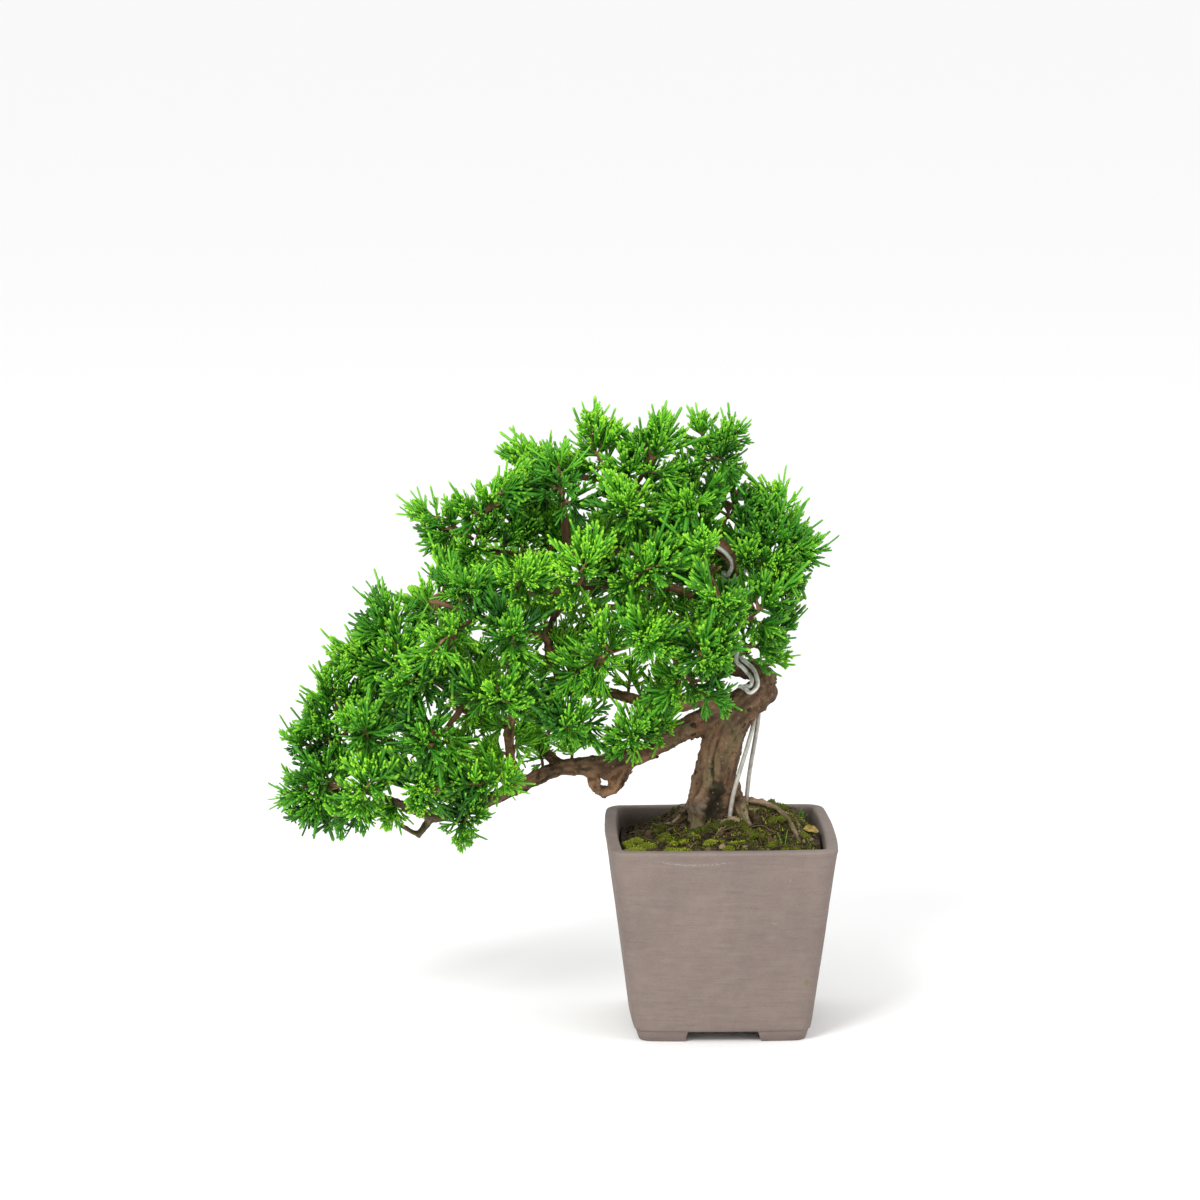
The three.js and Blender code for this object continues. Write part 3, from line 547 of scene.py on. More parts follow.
def turned(name, rings, sides=POT_SIDES):
    """Extrudes a circle through rings of (half width, height, corner share), closes the loop and squares
    each ring. A ring with no corner share stays round."""
    clear_selection()
    first_half, first_z, _ = rings[0]
    bpy.ops.mesh.primitive_circle_add(vertices=sides, radius=first_half * MM, location=(0, 0, first_z * MM))
    piece = bpy.context.active_object
    bpy.ops.object.transform_apply(location=True, rotation=True, scale=True)
    bpy.ops.object.mode_set(mode="EDIT")
    bpy.ops.mesh.select_all(action="SELECT")
    for (half, z, _), (next_half, next_z, _) in zip(rings, rings[1:] + rings[:1]):
        bpy.ops.mesh.extrude_region_move(TRANSFORM_OT_translate={"value": (0, 0, (next_z - z) * MM)})
        grow = next_half / half
        bpy.ops.transform.resize(value=(grow, grow, 1), center_override=(0, 0, 0))
    bpy.ops.mesh.select_all(action="SELECT")
    bpy.ops.mesh.remove_doubles(threshold=0.02 * MM)
    face_outward()
    bpy.ops.object.mode_set(mode="OBJECT")
    places = corners_of(piece) / MM
    reach = np.hypot(places[:, 0], places[:, 1])
    shape = np.array(rings)
    away = (reach[:, None] - shape[:, 0]) ** 2 + (places[:, 2:3] - shape[:, 1]) ** 2
    nearest = shape[np.argmin(away, axis=1)]
    angles = np.arctan2(places[:, 1], places[:, 0])
    angles = angles + CORNER_CROWDING * np.sin(4 * angles) / 4
    squared = nearest[:, 2] > 0
    plan = square_plan(angles, nearest[:, 0], np.maximum(nearest[:, 2], 0.01))
    places[squared, :2] = plan[squared]
    set_corners(piece, places * MM + np.array(POT_MIDDLE))
    piece.name = name
    return piece


floor_top = FOOT_HEIGHT + FLOOR
inner_rim = outer_half(POT_HEIGHT) - WALL
outside = arc((BASE_HALF - EDGE_ROUND, FOOT_HEIGHT + EDGE_ROUND), EDGE_ROUND, -90, 0)
wall_heights = np.linspace(FOOT_HEIGHT + 3 * EDGE_ROUND, POT_HEIGHT - 2 * EDGE_ROUND, OUTER_RINGS)
outside += [(outer_half(z), z) for z in wall_heights]
outside += arc((RIM_HALF - EDGE_ROUND, POT_HEIGHT - EDGE_ROUND), EDGE_ROUND, 0, 90, 5)
inside = arc((inner_rim + EDGE_ROUND, POT_HEIGHT - EDGE_ROUND), EDGE_ROUND, 90, 180, 5)
inside += [(outer_half(z) - WALL, z) for z in np.linspace(POT_HEIGHT - 4, floor_top + 3, INNER_RINGS)]
inside += [(outer_half(floor_top) - WALL - EDGE_ROUND, floor_top)]
rings = [(half, z, OUTER_CORNER) for half, z in outside]
rings += [(half, z, INNER_CORNER) for half, z in inside]
rings += [(FLOOR_RING, floor_top, INNER_CORNER)]
rings += [(DRAIN_RADIUS, z, 0) for z in (floor_top, floor_top - 2, FOOT_HEIGHT + 2, FOOT_HEIGHT)]
rings += [(FLOOR_RING, FOOT_HEIGHT, OUTER_CORNER)]
pot = turned("pot_body", rings)
print("turned body:", triangles(pot), "triangles")

# %% [markdown]
# The foot ring is turned by the same rule and narrows towards the ground. Two long cutters then take the
# middle of each side away, which leaves four L-shaped feet. They are narrower at the top, as a mould needs.

# %% Feet
narrow = FOOT_TAPER
outer_foot = BASE_HALF - FOOT_SETBACK
inner_foot = BASE_HALF - FOOT_WIDTH
foot_top = FOOT_HEIGHT + 1
edge = 0.5
foot_rings = [
    (outer_foot - narrow - edge, 0, OUTER_CORNER), (outer_foot - narrow, edge, OUTER_CORNER),
    (outer_foot, FOOT_HEIGHT, OUTER_CORNER), (outer_foot, foot_top, OUTER_CORNER),
    (inner_foot, foot_top, INNER_CORNER), (inner_foot, FOOT_HEIGHT, INNER_CORNER),
    (inner_foot + 0.3 * narrow, edge, INNER_CORNER), (inner_foot + 0.3 * narrow + edge, 0, INNER_CORNER),
]
feet = turned("feet", foot_rings)
gap_half = BASE_HALF - FOOT_LENGTH
for turn in (0, 90):
    clear_selection()
    bpy.ops.mesh.primitive_cube_add(size=2)
    cutter = bpy.context.active_object
    places = corners_of(cutter)
    low = places[:, 2] < 0
    places[:, 0] *= 2 * RIM_HALF * MM
    places[:, 1] *= np.where(low, gap_half + 1.6 * narrow, gap_half - 0.3 * narrow) * MM
    places[:, 2] = np.where(low, -1, foot_top + 1) * MM
    set_corners(cutter, places)
    cutter.data.transform(Matrix.Translation(POT_MIDDLE) @ Matrix.Rotation(math.radians(turn), 4, "Z"))
    apply_modifier(feet, "BOOLEAN", operation="DIFFERENCE", object=cutter, solver="EXACT")
    bpy.data.objects.remove(cutter)
apply_modifier(feet, "BEVEL", width=0.45 * MM, segments=2, limit_method="ANGLE", angle_limit=math.radians(50))
apply_modifier(pot, "BOOLEAN", operation="UNION", object=feet, solver="EXACT")
bpy.data.objects.remove(feet)
print("pot with feet:", triangles(pot), "triangles")

# %% [markdown]
# Pressed clay is never quite flat. The walls get waves of a tenth of a millimetre, and the rim a few soft
# dents, so that a highlight wanders on them.

# %% Hand-made unevenness
CLAY_WAVE = 0.14
CLAY_DENT = 0.06
places = corners_of(pot)
away = lumps(places, 24 * MM, 3) * CLAY_WAVE + lumps(places, 5 * MM, 4) * CLAY_DENT
above_feet = ramp(places[:, 2], FOOT_HEIGHT * MM, (FOOT_HEIGHT + 3) * MM)
set_corners(pot, places + normals_of(pot) * (away * above_feet)[:, None] * MM)
take(pot)
bpy.ops.object.shade_smooth_by_angle(angle=math.radians(35))
print("walls move by up to", round(float(np.abs(away).max()), 2), "mm")

# %% [markdown]
# The clay is a warm grey-brown with pale and dark sand in it. On the front it carries the small signs of
# use: a thin pale scrape in an arc under the rim, two short scratches and one olive spot low on the right.
# They are placed by where they are on the pot and drawn by distance from that place. A wet cloth has left
# faint level streaks. The rim is worn a little paler. Inside, wet soil has stained the wall, and painted shade
# darkens it further just above the soil.

# %% Clay
CLAY = (0.186, 0.144, 0.126, 1)
CLAY_WARM = (0.216, 0.169, 0.147, 1)
CLAY_PALE = (0.275, 0.228, 0.203, 1)
CLAY_DARK = (0.12, 0.091, 0.078, 1)
CLAY_SCRAPED = (0.36, 0.33, 0.31, 1)
OLIVE = (0.16, 0.145, 0.05, 1)
# Soil stain and painted shade on the inner wall, just above the soil.
STAIN_AND_SHADE = (0.05, 0.038, 0.026, 1)
STAIN_AND_SHADE_HALF = 47.3
STAIN_AND_SHADE_FOOT = 79.0
SCRAPES = [((-13.5, 84.9), 17.5, 0.107), ((28.2, 77.5), 1.7, -0.2), ((22.7, 56.9), 1.5, 0.35)]
SPOT_PLACE = (37.5, 28.6)
FRONT = -30.0

clay, tree, shader = new_material("clay", 0.72, specular=0.3)
places = object_places(tree)
x, y, z = axes_of(tree, places)


def scrape(middle, reach, bend):
    """A thin line on the front that fades to its ends. Bend is how far it curves up at them."""
    across = maths(tree, "SUBTRACT", x, POT_MIDDLE.x + middle[0] * MM)
    share = maths(tree, "DIVIDE", across, reach * MM)
    squared = maths(tree, "MULTIPLY", share, share)
    line = maths(tree, "MULTIPLY", squared, bend * reach * MM)
    up = maths(tree, "SUBTRACT", z, middle[1] * MM)
    off = maths(tree, "ABSOLUTE", maths(tree, "SUBTRACT", up, line))
    width = between(tree, off, 0.8 * MM, 0.1 * MM)
    return maths(tree, "MULTIPLY", width, between(tree, squared, 1.0, 0.5))


marks = maths(tree, "MAXIMUM", scrape(*SCRAPES[0]), scrape(*SCRAPES[1]))
marks = maths(tree, "MAXIMUM", marks, scrape(*SCRAPES[2]))
in_front = maths(tree, "LESS_THAN", y, POT_MIDDLE.y + FRONT * MM)
broken = between(tree, noise(tree, places, 900, 2), 0.4, 0.6)
marks = maths(tree, "MULTIPLY", maths(tree, "MULTIPLY", marks, in_front), broken)
wide, small, relief = mottle(tree, places, 26)
colour = blend(tree, wide, CLAY, CLAY_WARM)
wiped = noise(tree, stretched(tree, places, (55, 55, 420)), 1, 4)
colour = blend(tree, between(tree, wiped, 0.5, 0.75, 0, 0.22), colour, CLAY_PALE)
brushed = noise(tree, stretched(tree, places, (70, 70, 1500)), 1, 3)
colour = blend(tree, between(tree, brushed, 0.5, 0.7, 0, 0.3), colour, CLAY_DARK)
colour = tint(tree, colour, CLAY_DARK, small, 0.16)
pale_sand = specks(tree, places, 1500, 0.3)
dark_sand = specks(tree, stretched(tree, places, (1, 1, 1.3)), 1150, 0.2)
colour = tint(tree, colour, CLAY_PALE, pale_sand, 0.4)
colour = tint(tree, colour, CLAY_DARK, dark_sand, 0.5)
colour = tint(tree, colour, CLAY_SCRAPED, marks, 0.4)
spot_x = maths(tree, "ABSOLUTE", maths(tree, "SUBTRACT", x, POT_MIDDLE.x + SPOT_PLACE[0] * MM))
spot_z = maths(tree, "ABSOLUTE", maths(tree, "SUBTRACT", z, SPOT_PLACE[1] * MM))
spot_away = maths(tree, "ADD", spot_x, maths(tree, "MULTIPLY", spot_z, 0.6))
spot = maths(tree, "MULTIPLY", between(tree, spot_away, 1.6 * MM, 0.5 * MM), in_front)
colour = tint(tree, colour, OLIVE, spot, 0.75)
below = between(tree, z, 9 * MM, 1 * MM, 0, 0.3)
colour = tint(tree, colour, CLAY_DARK, below, wide)
across_x = maths(tree, "ABSOLUTE", maths(tree, "SUBTRACT", x, POT_MIDDLE.x))
across_y = maths(tree, "ABSOLUTE", maths(tree, "SUBTRACT", y, POT_MIDDLE.y))
inside = maths(tree, "LESS_THAN", maths(tree, "MAXIMUM", across_x, across_y), STAIN_AND_SHADE_HALF * MM)
stain_and_shade_edge = maths(tree, "ADD", z, maths(tree, "MULTIPLY", wide, -3 * MM))
inside = maths(tree, "MULTIPLY", inside, maths(tree, "GREATER_THAN", z, STAIN_AND_SHADE_FOOT * MM))
worn = between(tree, z, 88.8 * MM, 90.4 * MM, 0, 0.22)
colour = blend(tree, worn, colour, CLAY_PALE)
# Soil stain and painted shade darken the inner wall towards the soil.
stained_and_shaded = maths(tree, "MULTIPLY", inside, between(tree, stain_and_shade_edge, 89.5 * MM, 82 * MM, 0, 0.75))
colour = blend(tree, stained_and_shaded, colour, STAIN_AND_SHADE)
tree.links.new(colour, shader.inputs["Base Color"])
tree.links.new(between(tree, relief, 0.5, 1.0, 0.66, 0.84), shader.inputs["Roughness"])
grit = noise(tree, places, 2600, 2)
height = maths(tree, "ADD", maths(tree, "MULTIPLY", relief, 0.5), maths(tree, "MULTIPLY", grit, 0.35))
height = maths(tree, "SUBTRACT", height, maths(tree, "MULTIPLY", dark_sand, 0.3))
height = maths(tree, "SUBTRACT", height, maths(tree, "MULTIPLY", brushed, 0.5))
height = maths(tree, "SUBTRACT", height, maths(tree, "MULTIPLY", marks, 0.3))
raise_surface(tree, shader, height, 0.25 * MM, 0.7)
finish_piece(pot, "clay_pot", clay, ["pot"])

# %% [markdown]
# The screen over the drain hole is moulded plastic, and its frame solid already has the right grid of bars.
# It stays as it is and only gets its finish: black, with the faint grain and dust of a part that lies in
# wet soil.

# %% Drain screen
plastic, tree, shader = new_material("screen_plastic", 0.5, specular=0.4)
places = object_places(tree)
wide, small, relief = mottle(tree, places, 160)
colour = blend(tree, wide, (0.012, 0.012, 0.012, 1), (0.045, 0.036, 0.026, 1))
coat(tree, shader, colour, small, (0.42, 0.7))
raise_surface(tree, shader, relief, 0.1 * MM, 0.5)
screen = frame["nodes"]["drain_screen"]
screen.data.materials.clear()
screen.data.materials.append(plastic)
print("drain screen keeps its", triangles(screen), "triangles")

# %% [markdown]
# ## Wood
# Trunk, limbs, boughs and roots are one grown piece. The frame holds its form with few faces, so a merged
# copy is remeshed into small even faces, which can carry bark.

# %% Remesh the wood
VOXEL = 0.82 * MM
wood = merged_copy("juniper_wood", "wood")
apply_modifier(wood, "REMESH", mode="VOXEL", voxel_size=VOXEL, adaptivity=0)
apply_modifier(wood, "SMOOTH", factor=0.5, iterations=3)
print("remeshed wood:", triangles(wood), "triangles")

# %% [markdown]
# Bark runs lengthwise in strips, and the wood turns every way, so the strips need to know which way each limb
# runs. On a round limb all normals stand across it. So the direction that the normals round a point have
# least of is the way the limb runs there. A ray through the wood says how thick it is.

# %% Which way each limb runs, and how thick it is
def edges_of(piece):
    pairs = np.empty(len(piece.data.edges) * 2, np.int32)
    piece.data.edges.foreach_get("vertices", pairs)
    return pairs.reshape(-1, 2)


def soften(values, pairs, rounds):
    """Averages the values of each corner with its neighbours' values, several times."""
    ends = np.concatenate([pairs, pairs[:, ::-1]])
    count = len(values)
    neighbours = np.bincount(ends[:, 0], minlength=count) + 1.0
    values = values.reshape(count, -1).astype(float)
    for _ in range(rounds):
        for column in range(values.shape[1]):
            near = np.bincount(ends[:, 0], values[ends[:, 1], column], minlength=count)
            values[:, column] = (values[:, column] + near) / neighbours
    return values


AXIS_ROUNDS = 26
THICKNESS_ROUNDS = 12
MOST_RADIUS = 14 * MM
bark_places = corners_of(wood)
bark_normals = normals_of(wood)
bark_edges = edges_of(wood)
spread = soften((bark_normals[:, :, None] * bark_normals[:, None, :]).reshape(-1, 9), bark_edges, AXIS_ROUNDS)
limb_axes = np.linalg.eigh(spread.reshape(-1, 3, 3))[1][:, :, 0]
wood_tree = BVHTree.FromObject(wood, bpy.context.evaluated_depsgraph_get())
thickness = []
for corner, normal in zip(bark_places, bark_normals):
    inward = -Vector(normal)
    found = wood_tree.ray_cast(Vector(corner) + inward * 0.2 * MM, inward, 2 * MOST_RADIUS)
    thickness.append(found[3] if found[3] else MOST_RADIUS)
limb_radius = soften(np.minimum(np.array(thickness) / 2, MOST_RADIUS), bark_edges, THICKNESS_ROUNDS)[:, 0]
thinnest, thickest = (round(float(radius / MM), 1) for radius in (limb_radius.min(), limb_radius.max()))
print("limbs are", thinnest, "to", thickest, "mm in radius")

# %% [markdown]
# Strips come from plain random bumps that are averaged along the limb's own way: what differs across the
# limb stays, and what differs along it goes. Broad strips give the muscle of the wood, fine ones its
# fibres. Old wood also has a few single features, each listed by its place, its reach and its height in
# millimetres: knots and swellings, hollows, and cracks along a line. Hollows, cracks, creases and pits are
# painted dark as well, as painted shade, and so is the limb on the left, which lies under the crown. Shades
# are patches of painted shade without a depth. The small loop on the lower limb is shaved where the frame is
# too full.

# %% Bark strips and knots
STRIP_STEPS = 7
TRUNK_RADIUS = 9.0
KNOTS = [
    ((-10, -3, 119), 9, 1.5), ((-13, -4, 105), 8, 2.0), ((-11.5, -9, 101), 5, 1.2),
    ((-12.5, -7, 109), 3.5, 0.5), ((-12.2, -5, 117.3), 1.8, 1.1), ((10, -1, 129), 9, 1.2),
    ((9, -2, 115), 7, 1.2), ((-13.5, -3, 106.5), 1.7, 1.4), ((17.5, -6, 148), 3.2, 0.8),
    ((18.5, -6.5, 147.5), 1.4, -1.1), ((24, -2, 153), 3, 0.9), ((-62, -10, 124), 3.5, 1.2),
    ((-47, -10, 126), 3, 0.8), ((-90, -4, 113), 3, 0.9), ((7.5, -8, 131), 2.4, 0.8),
    ((-30, -9, 131), 2.5, 0.8), ((3, 9, 112), 4, 1.2), ((-6, 9, 130), 3, 1), ((-10, -10, 103), 4.5, 1.2),
    ((-53.4, -6.5, 106.8), 3.0, 2.8), ((-52.6, -6, 115.4), 3.6, 3.2), ((-47.5, -6, 114), 3.2, 0.9),
    ((-58, -6, 114.5), 3.2, 0.8), ((-13, -2, 139), 1.6, 1.1), ((-11, -4, 143), 1.3, 0.9),
    ((22, -4, 144), 2.6, 0.9), ((-38, -8, 133), 1.8, 1.2),
]
HOLLOWS = [
    ((-3.8, -10, 108), 2.4, -2.0), ((-1.2, -9.5, 104), 3.4, -3.2), ((-2.4, -9, 98.5), 4.8, -3.2),
    ((0.7, -8.5, 105.4), 2.8, -1.3), ((5.5, 8, 100), 4, -1.5),
]
# Painted shade: dark patches on the trunk's front near the soil, each a place, a reach and how dark it is.
SHADES = [((-2.5, -10, 102), 6.4, 0.97), ((-0.8, -10, 110.5), 4.8, 0.9), ((8.5, -8, 106), 3.6, 0.7)]
SHAVED = [((-59.5, -6, 108.4), 2.6, -1.7), ((-46.4, -6, 107.8), 2.6, -1.7)]
CRACKS = [
    ([(-2.6, -10, 106), (-3.2, -9, 113), (-3.9, -8.5, 120), (-3.2, -8.5, 127), (-1.5, -8.8, 133)],
     1.25, -1.6),
    ([(3.5, -7, 108), (4.2, -7.5, 118), (5.5, -8, 128), (9, -8, 138)], 0.6, -0.45),
    ([(1, 10, 104), (2, 9, 116), (0, 9, 128)], 0.8, -0.9),
    ([(-15, -5, 110.5), (-12, -9.5, 110), (-8, -11, 109.5), (-5, -10.5, 110.5)], 0.9, -0.9),
    ([(-13, -6, 125), (-9.5, -9, 124), (-6, -10, 124.5)], 0.6, -0.4),
    ([(-2, -9.5, 118), (2, -10, 117), (6, -9, 118)], 0.6, -0.4),
]


def strips(size, reach, seed):
    """Random bumps of one size, averaged along each limb over a reach to both sides."""
    total = np.zeros(len(bark_places))
    for share in np.linspace(-1, 1, STRIP_STEPS):
        total += lumps(bark_places + limb_axes * share * reach, size, seed)
    return total / total.std()


def near_line(places, points, width):
    """1 on a line through points, down to 0 at its width."""
    best = np.full(len(places), 1e9)
    for start, end in zip(points, points[1:]):
        start = np.array(start, float)
        along = np.array(end, float) - start
        share = np.clip((places - start) @ along / (along @ along), 0, 1)
        best = np.minimum(best, np.linalg.norm(places - start - share[:, None] * along, axis=1))
    return ramp(best, width, 0.2 * width)


measured = from_pot(bark_places)
girth = np.clip(limb_radius / MM / TRUNK_RADIUS, 0.12, 1)
muscle = strips(5.5 * MM, 6 * MM, 11)
fibre = strips(1.5 * MM, 3 * MM, 12)
fine_fibre = strips(0.8 * MM, 2 * MM, 13)
rise = 0.16 * muscle * girth**1.2 + 0.10 * fibre * girth**0.6 + 0.07 * fine_fibre * girth**0.3
pits = lumps(bark_places, 2.1 * MM, 15)
rise += 0.62 * lumps(bark_places, 4.2 * MM, 14) * girth**0.6 + 0.42 * pits * girth**0.3
flakes = ramp(lumps(bark_places * (1, 1, 0.7), 2.0 * MM, 16), 0.18, 0.3)
rise += 0.36 * flakes * girth**0.2
creases = ramp(-fibre, 0.7, 2.0)
rise -= 0.18 * creases * girth**0.8
for middle, radius, high in KNOTS + HOLLOWS + SHAVED:
    away = away_from(middle, measured) / radius
    rise += high * np.exp(-(away**2)) * (1 + 0.15 * fibre)
# The stored darkness is painted shade: creases, pits, hollows, the shade patches and cracks, and the limb on the
# left under the crown.
dark = 0.28 * creases + 0.3 * ramp(-pits, 0.25, 0.6)
dark += 0.34 * ramp(measured[:, 0], -16, -45) * (1 + 0.5 * lumps(bark_places, 7 * MM, 18))
ragged = 1.35 * (1 + 0.8 * lumps(bark_places, 2.9 * MM, 17))
for middle, radius, _ in HOLLOWS:
    dark = np.maximum(dark, np.exp(-((away_from(middle, measured) / (radius * ragged)) ** 2)))
for middle, radius, share in SHADES:
    away = away_from(middle, measured) / radius + 0.3 * lumps(bark_places, 2.1 * MM, 19)
    dark = np.maximum(dark, share * ramp(away, 1.15, 0.75))
for points, width, deep in CRACKS:
    line = near_line(measured, points, width + 0.25 * np.clip(fibre, -1, 1))
    rise += deep * line
    dark = np.maximum(dark, line)
set_corners(wood, bark_places + bark_normals * rise[:, None] * MM)
set_values(wood, "strip", 0.5 + 0.17 * (0.5 * muscle + 0.7 * fibre + 0.5 * fine_fibre))
set_values(wood, "dark", dark)
set_values(wood, "girth", limb_radius / MM)
smooth(wood)
print("bark rises", round(float(rise.max()), 2), "mm and sinks", round(float(-rise.min()), 2), "mm")

# %% [markdown]
# The trunk is brown with grey-olive patches, where algae grow, and paler strips. Thin limbs are redder, as
# their bark is young and flakes. The stored thickness blends one into the other. Near the soil the left foot
# is a paler grey, thin roots are bleached, and moss climbs the wood.

# %% Bark
bark, tree, shader = new_material("juniper_bark", 0.8, specular=0.25)
places = object_places(tree)
strip = stored(tree, "strip")
thick = stored(tree, "girth")
x, _, z = axes_of(tree, places)
wide, small, relief = mottle(tree, places, 75)
grain, ground, _ = mottle(tree, places, 420)
old = blend(tree, between(tree, strip, 0.2, 0.85), (0.085, 0.048, 0.027, 1), (0.235, 0.142, 0.077, 1))
young = blend(tree, between(tree, strip, 0.2, 0.85), (0.125, 0.06, 0.028, 1), (0.40, 0.22, 0.11, 1))
colour = blend(tree, between(tree, thick, 2.2, 5.5), young, old)
olive = blend(tree, grain, (0.125, 0.105, 0.045, 1), (0.215, 0.19, 0.10, 1))
patches = noise(tree, stretched(tree, places, (1, 1, 0.45)), 95, 4)
on_old = between(tree, thick, 3, 6, 0.15, 0.75)
olive_share = maths(tree, "MULTIPLY", between(tree, patches, 0.5, 0.64), on_old)
colour = blend(tree, olive_share, colour, olive)
red_share = between(tree, noise(tree, stretched(tree, places, (1, 1, 0.5)), 130, 3), 0.58, 0.72, 0, 0.6)
colour = blend(tree, red_share, colour, (0.21, 0.085, 0.045, 1))
low_down = between(tree, z, 112 * MM, 98 * MM)
left_side = between(tree, x, POT_MIDDLE.x - 3 * MM, POT_MIDDLE.x - 9 * MM)
left_foot = maths(tree, "MULTIPLY", low_down, left_side)
pale_share = maths(tree, "MULTIPLY", left_foot, between(tree, wide, 0.25, 0.75, 0.12, 0.8))
colour = blend(tree, pale_share, colour, (0.225, 0.178, 0.152, 1))
thin_and_low = maths(tree, "MULTIPLY", low_down, between(tree, thick, 4.5, 2.5))
root_colour = blend(tree, between(tree, strip, 0.2, 0.8), (0.10, 0.07, 0.045, 1), (0.33, 0.25, 0.17, 1))
colour = tint(tree, colour, root_colour, thin_and_low, 0.85)
colour = tint(tree, colour, (0.055, 0.033, 0.018, 1), ground, 0.5)
flakes = specks(tree, places, 520, 0.16)
colour = tint(tree, colour, (0.38, 0.29, 0.21, 1), flakes, 0.28)
scabs = between(tree, noise(tree, stretched(tree, places, (1, 1, 0.6)), 300, 3), 0.6, 0.7, 0, 0.55)
colour = blend(tree, scabs, colour, (0.035, 0.022, 0.014, 1))
near_soil = between(tree, z, 107 * MM, 96 * MM)
mossy = maths(tree, "MULTIPLY", near_soil, between(tree, grain, 0.35, 0.75))
colour = tint(tree, colour, (0.075, 0.085, 0.014, 1), mossy, 0.6)
# Painted shade: the stored darkness blends the bark towards near black. On bark scales it is their own dark
# tone.
in_shade = between(tree, stored(tree, "dark"), 0.1, 0.95, 0, 0.92)
colour = blend(tree, in_shade, colour, (0.014, 0.012, 0.005, 1))
coat(tree, shader, colour, small, (0.7, 0.92))
height = maths(tree, "ADD", maths(tree, "MULTIPLY", relief, 0.5), maths(tree, "MULTIPLY", grain, 0.5))
height = maths(tree, "ADD", height, maths(tree, "MULTIPLY", strip, 0.8))
raise_surface(tree, shader, height, 0.3 * MM, 0.8)
finish_piece(wood, "tree_wood", bark, ["juniper_wood"])
wood_tree = BVHTree.FromObject(wood, bpy.context.evaluated_depsgraph_get())

# %% [markdown]
# ## Foliage
# This juniper's leaves are scales, pressed tight round thin green cords. A frond is a main cord with
# shorter cords on all sides, and small nubs on those. In the frame each frond is one long needle on its
# spray's stem, so every needle says where a frond grows, which way, and how long. Particles or instances
# would be lost in an exported model, so a few fronds are modelled once and copied into each spray's mesh.

# %% Read the fronds' places from the sprays
SHORTEST_NEEDLE = 5 * MM


def needles_of(node):
    """Foot and tip of each needle of a spray. A tip is a corner where just three faces meet."""
    data = frame["nodes"][node].data
    places = np.empty(len(data.vertices) * 3, np.float32)
    data.vertices.foreach_get("co", places)
    keys = np.round(places.reshape(-1, 3) / (0.01 * MM)).astype(np.int64)
    unique, index = np.unique(keys, axis=0, return_inverse=True)
    index = index.ravel()
    corners = np.empty(len(data.loops), np.int32)
    data.loops.foreach_get("vertex_index", corners)
    faces = index[corners].reshape(-1, 3)
    points = unique * 0.01 * MM
    meeting = np.bincount(faces.ravel(), minlength=len(points))
    found = []
    for tip in np.flatnonzero(meeting == 3):
        near = np.unique(faces[(faces == tip).any(axis=1)])
        foot = points[near[near != tip]].mean(axis=0)
        if np.linalg.norm(points[tip] - foot) > SHORTEST_NEEDLE:
            found.append((foot, points[tip]))
    return found


needles = {node: needles_of(node) for node in SPRAYS}
print("fronds:", sum(len(found) for found in needles.values()))

# %% [markdown]
# Main cords have four sides and side cords three. Shaded smooth, that is enough at 1.5 mm. A cord starts as a
# small circle with a face, is extruded and narrowed ring by ring, and ends in a blunt tip. Each cord stores
# how far every corner is from its tip, because the last two millimetres are this year's yellow-green growth.
# Its own map runs round the cord and along it in millimetres, for the pattern of scales.

# %% One cord
TIP_LENGTH = 0.7
NARROWING = 0.94


def cord(length, radius, steps, bend=0.0, sides=3):
    """A cord that stands on the origin along Z, in millimetres, and leans towards X by bend at its end."""
    clear_selection()
    bpy.ops.mesh.primitive_circle_add(vertices=sides, radius=radius, fill_type="NGON")
    piece = bpy.context.active_object
    bpy.ops.object.mode_set(mode="EDIT")
    bpy.ops.mesh.select_all(action="SELECT")
    rise = (length - TIP_LENGTH) / steps
    for step in range(steps):
        bpy.ops.mesh.extrude_region_move(TRANSFORM_OT_translate={"value": (0, 0, rise)})
        bpy.ops.transform.resize(value=(NARROWING, NARROWING, 1), center_override=(0, 0, 0))
    bpy.ops.mesh.extrude_region_move(TRANSFORM_OT_translate={"value": (0, 0, TIP_LENGTH)})
    bpy.ops.mesh.merge(type="CENTER")
    bpy.ops.mesh.select_all(action="SELECT")
    face_outward()
    bpy.ops.object.mode_set(mode="OBJECT")
    places = corners_of(piece)
    set_values(piece, "from_tip", length - places[:, 2])
    map_of_cord = piece.data.uv_layers.new(name="cord")
    for face in piece.data.polygons:
        middle = math.atan2(face.center.y, face.center.x)
        for loop in face.loop_indices:
            corner = places[piece.data.loops[loop].vertex_index]
            turn = math.atan2(corner[1], corner[0]) - middle if np.hypot(*corner[:2]) > 1e-6 else 0
            turn = (turn + math.pi) % (2 * math.pi) - math.pi
            map_of_cord.data[loop].uv = ((middle + turn) / (2 * math.pi), corner[2])
    places[:, 0] += bend * (places[:, 2] / length) ** 2
    set_corners(piece, places)
    return piece


sample = cord(10, 0.7, 3)
print("a cord has", triangles(sample), "triangles")
bpy.data.objects.remove(sample)

# %% [markdown]
# A frond is put together from cords. The side cords stand to the left and right of the main one in turn, not
# quite in one plane, and they grow shorter towards its tip, so that the frond is a loose fan. Ten fronds are
# enough that no two neighbours look alike once they are turned and bent. The last three are whips: long
# bare ends that stand out of the crown.

# %% Ten fronds
FROND_LENGTH = 13.5
FROND_KINDS = 10
WHIP_KINDS = 3
WHIP_GROWTH = 1.35
GOLDEN_TURN = math.radians(137.5)
CORD_RADIUS = 0.73
SIDE_RADIUS = 0.7
NUB_RADIUS = 0.62
SIDE_LEAN = (24, 43)
FAN_SCATTER = 0.62
SIDE_DROOP = 0.13
LEAST_WITH_NUB = 4.8


def lean_on(height, turn, lean, start_x=0.0):
    """Stands a cord on the main cord at a height, turned round it and leaned away from it."""
    return (Matrix.Translation((start_x, 0, height)) @ Matrix.Rotation(turn, 4, "Z")
            @ Matrix.Rotation(lean, 4, "Y"))


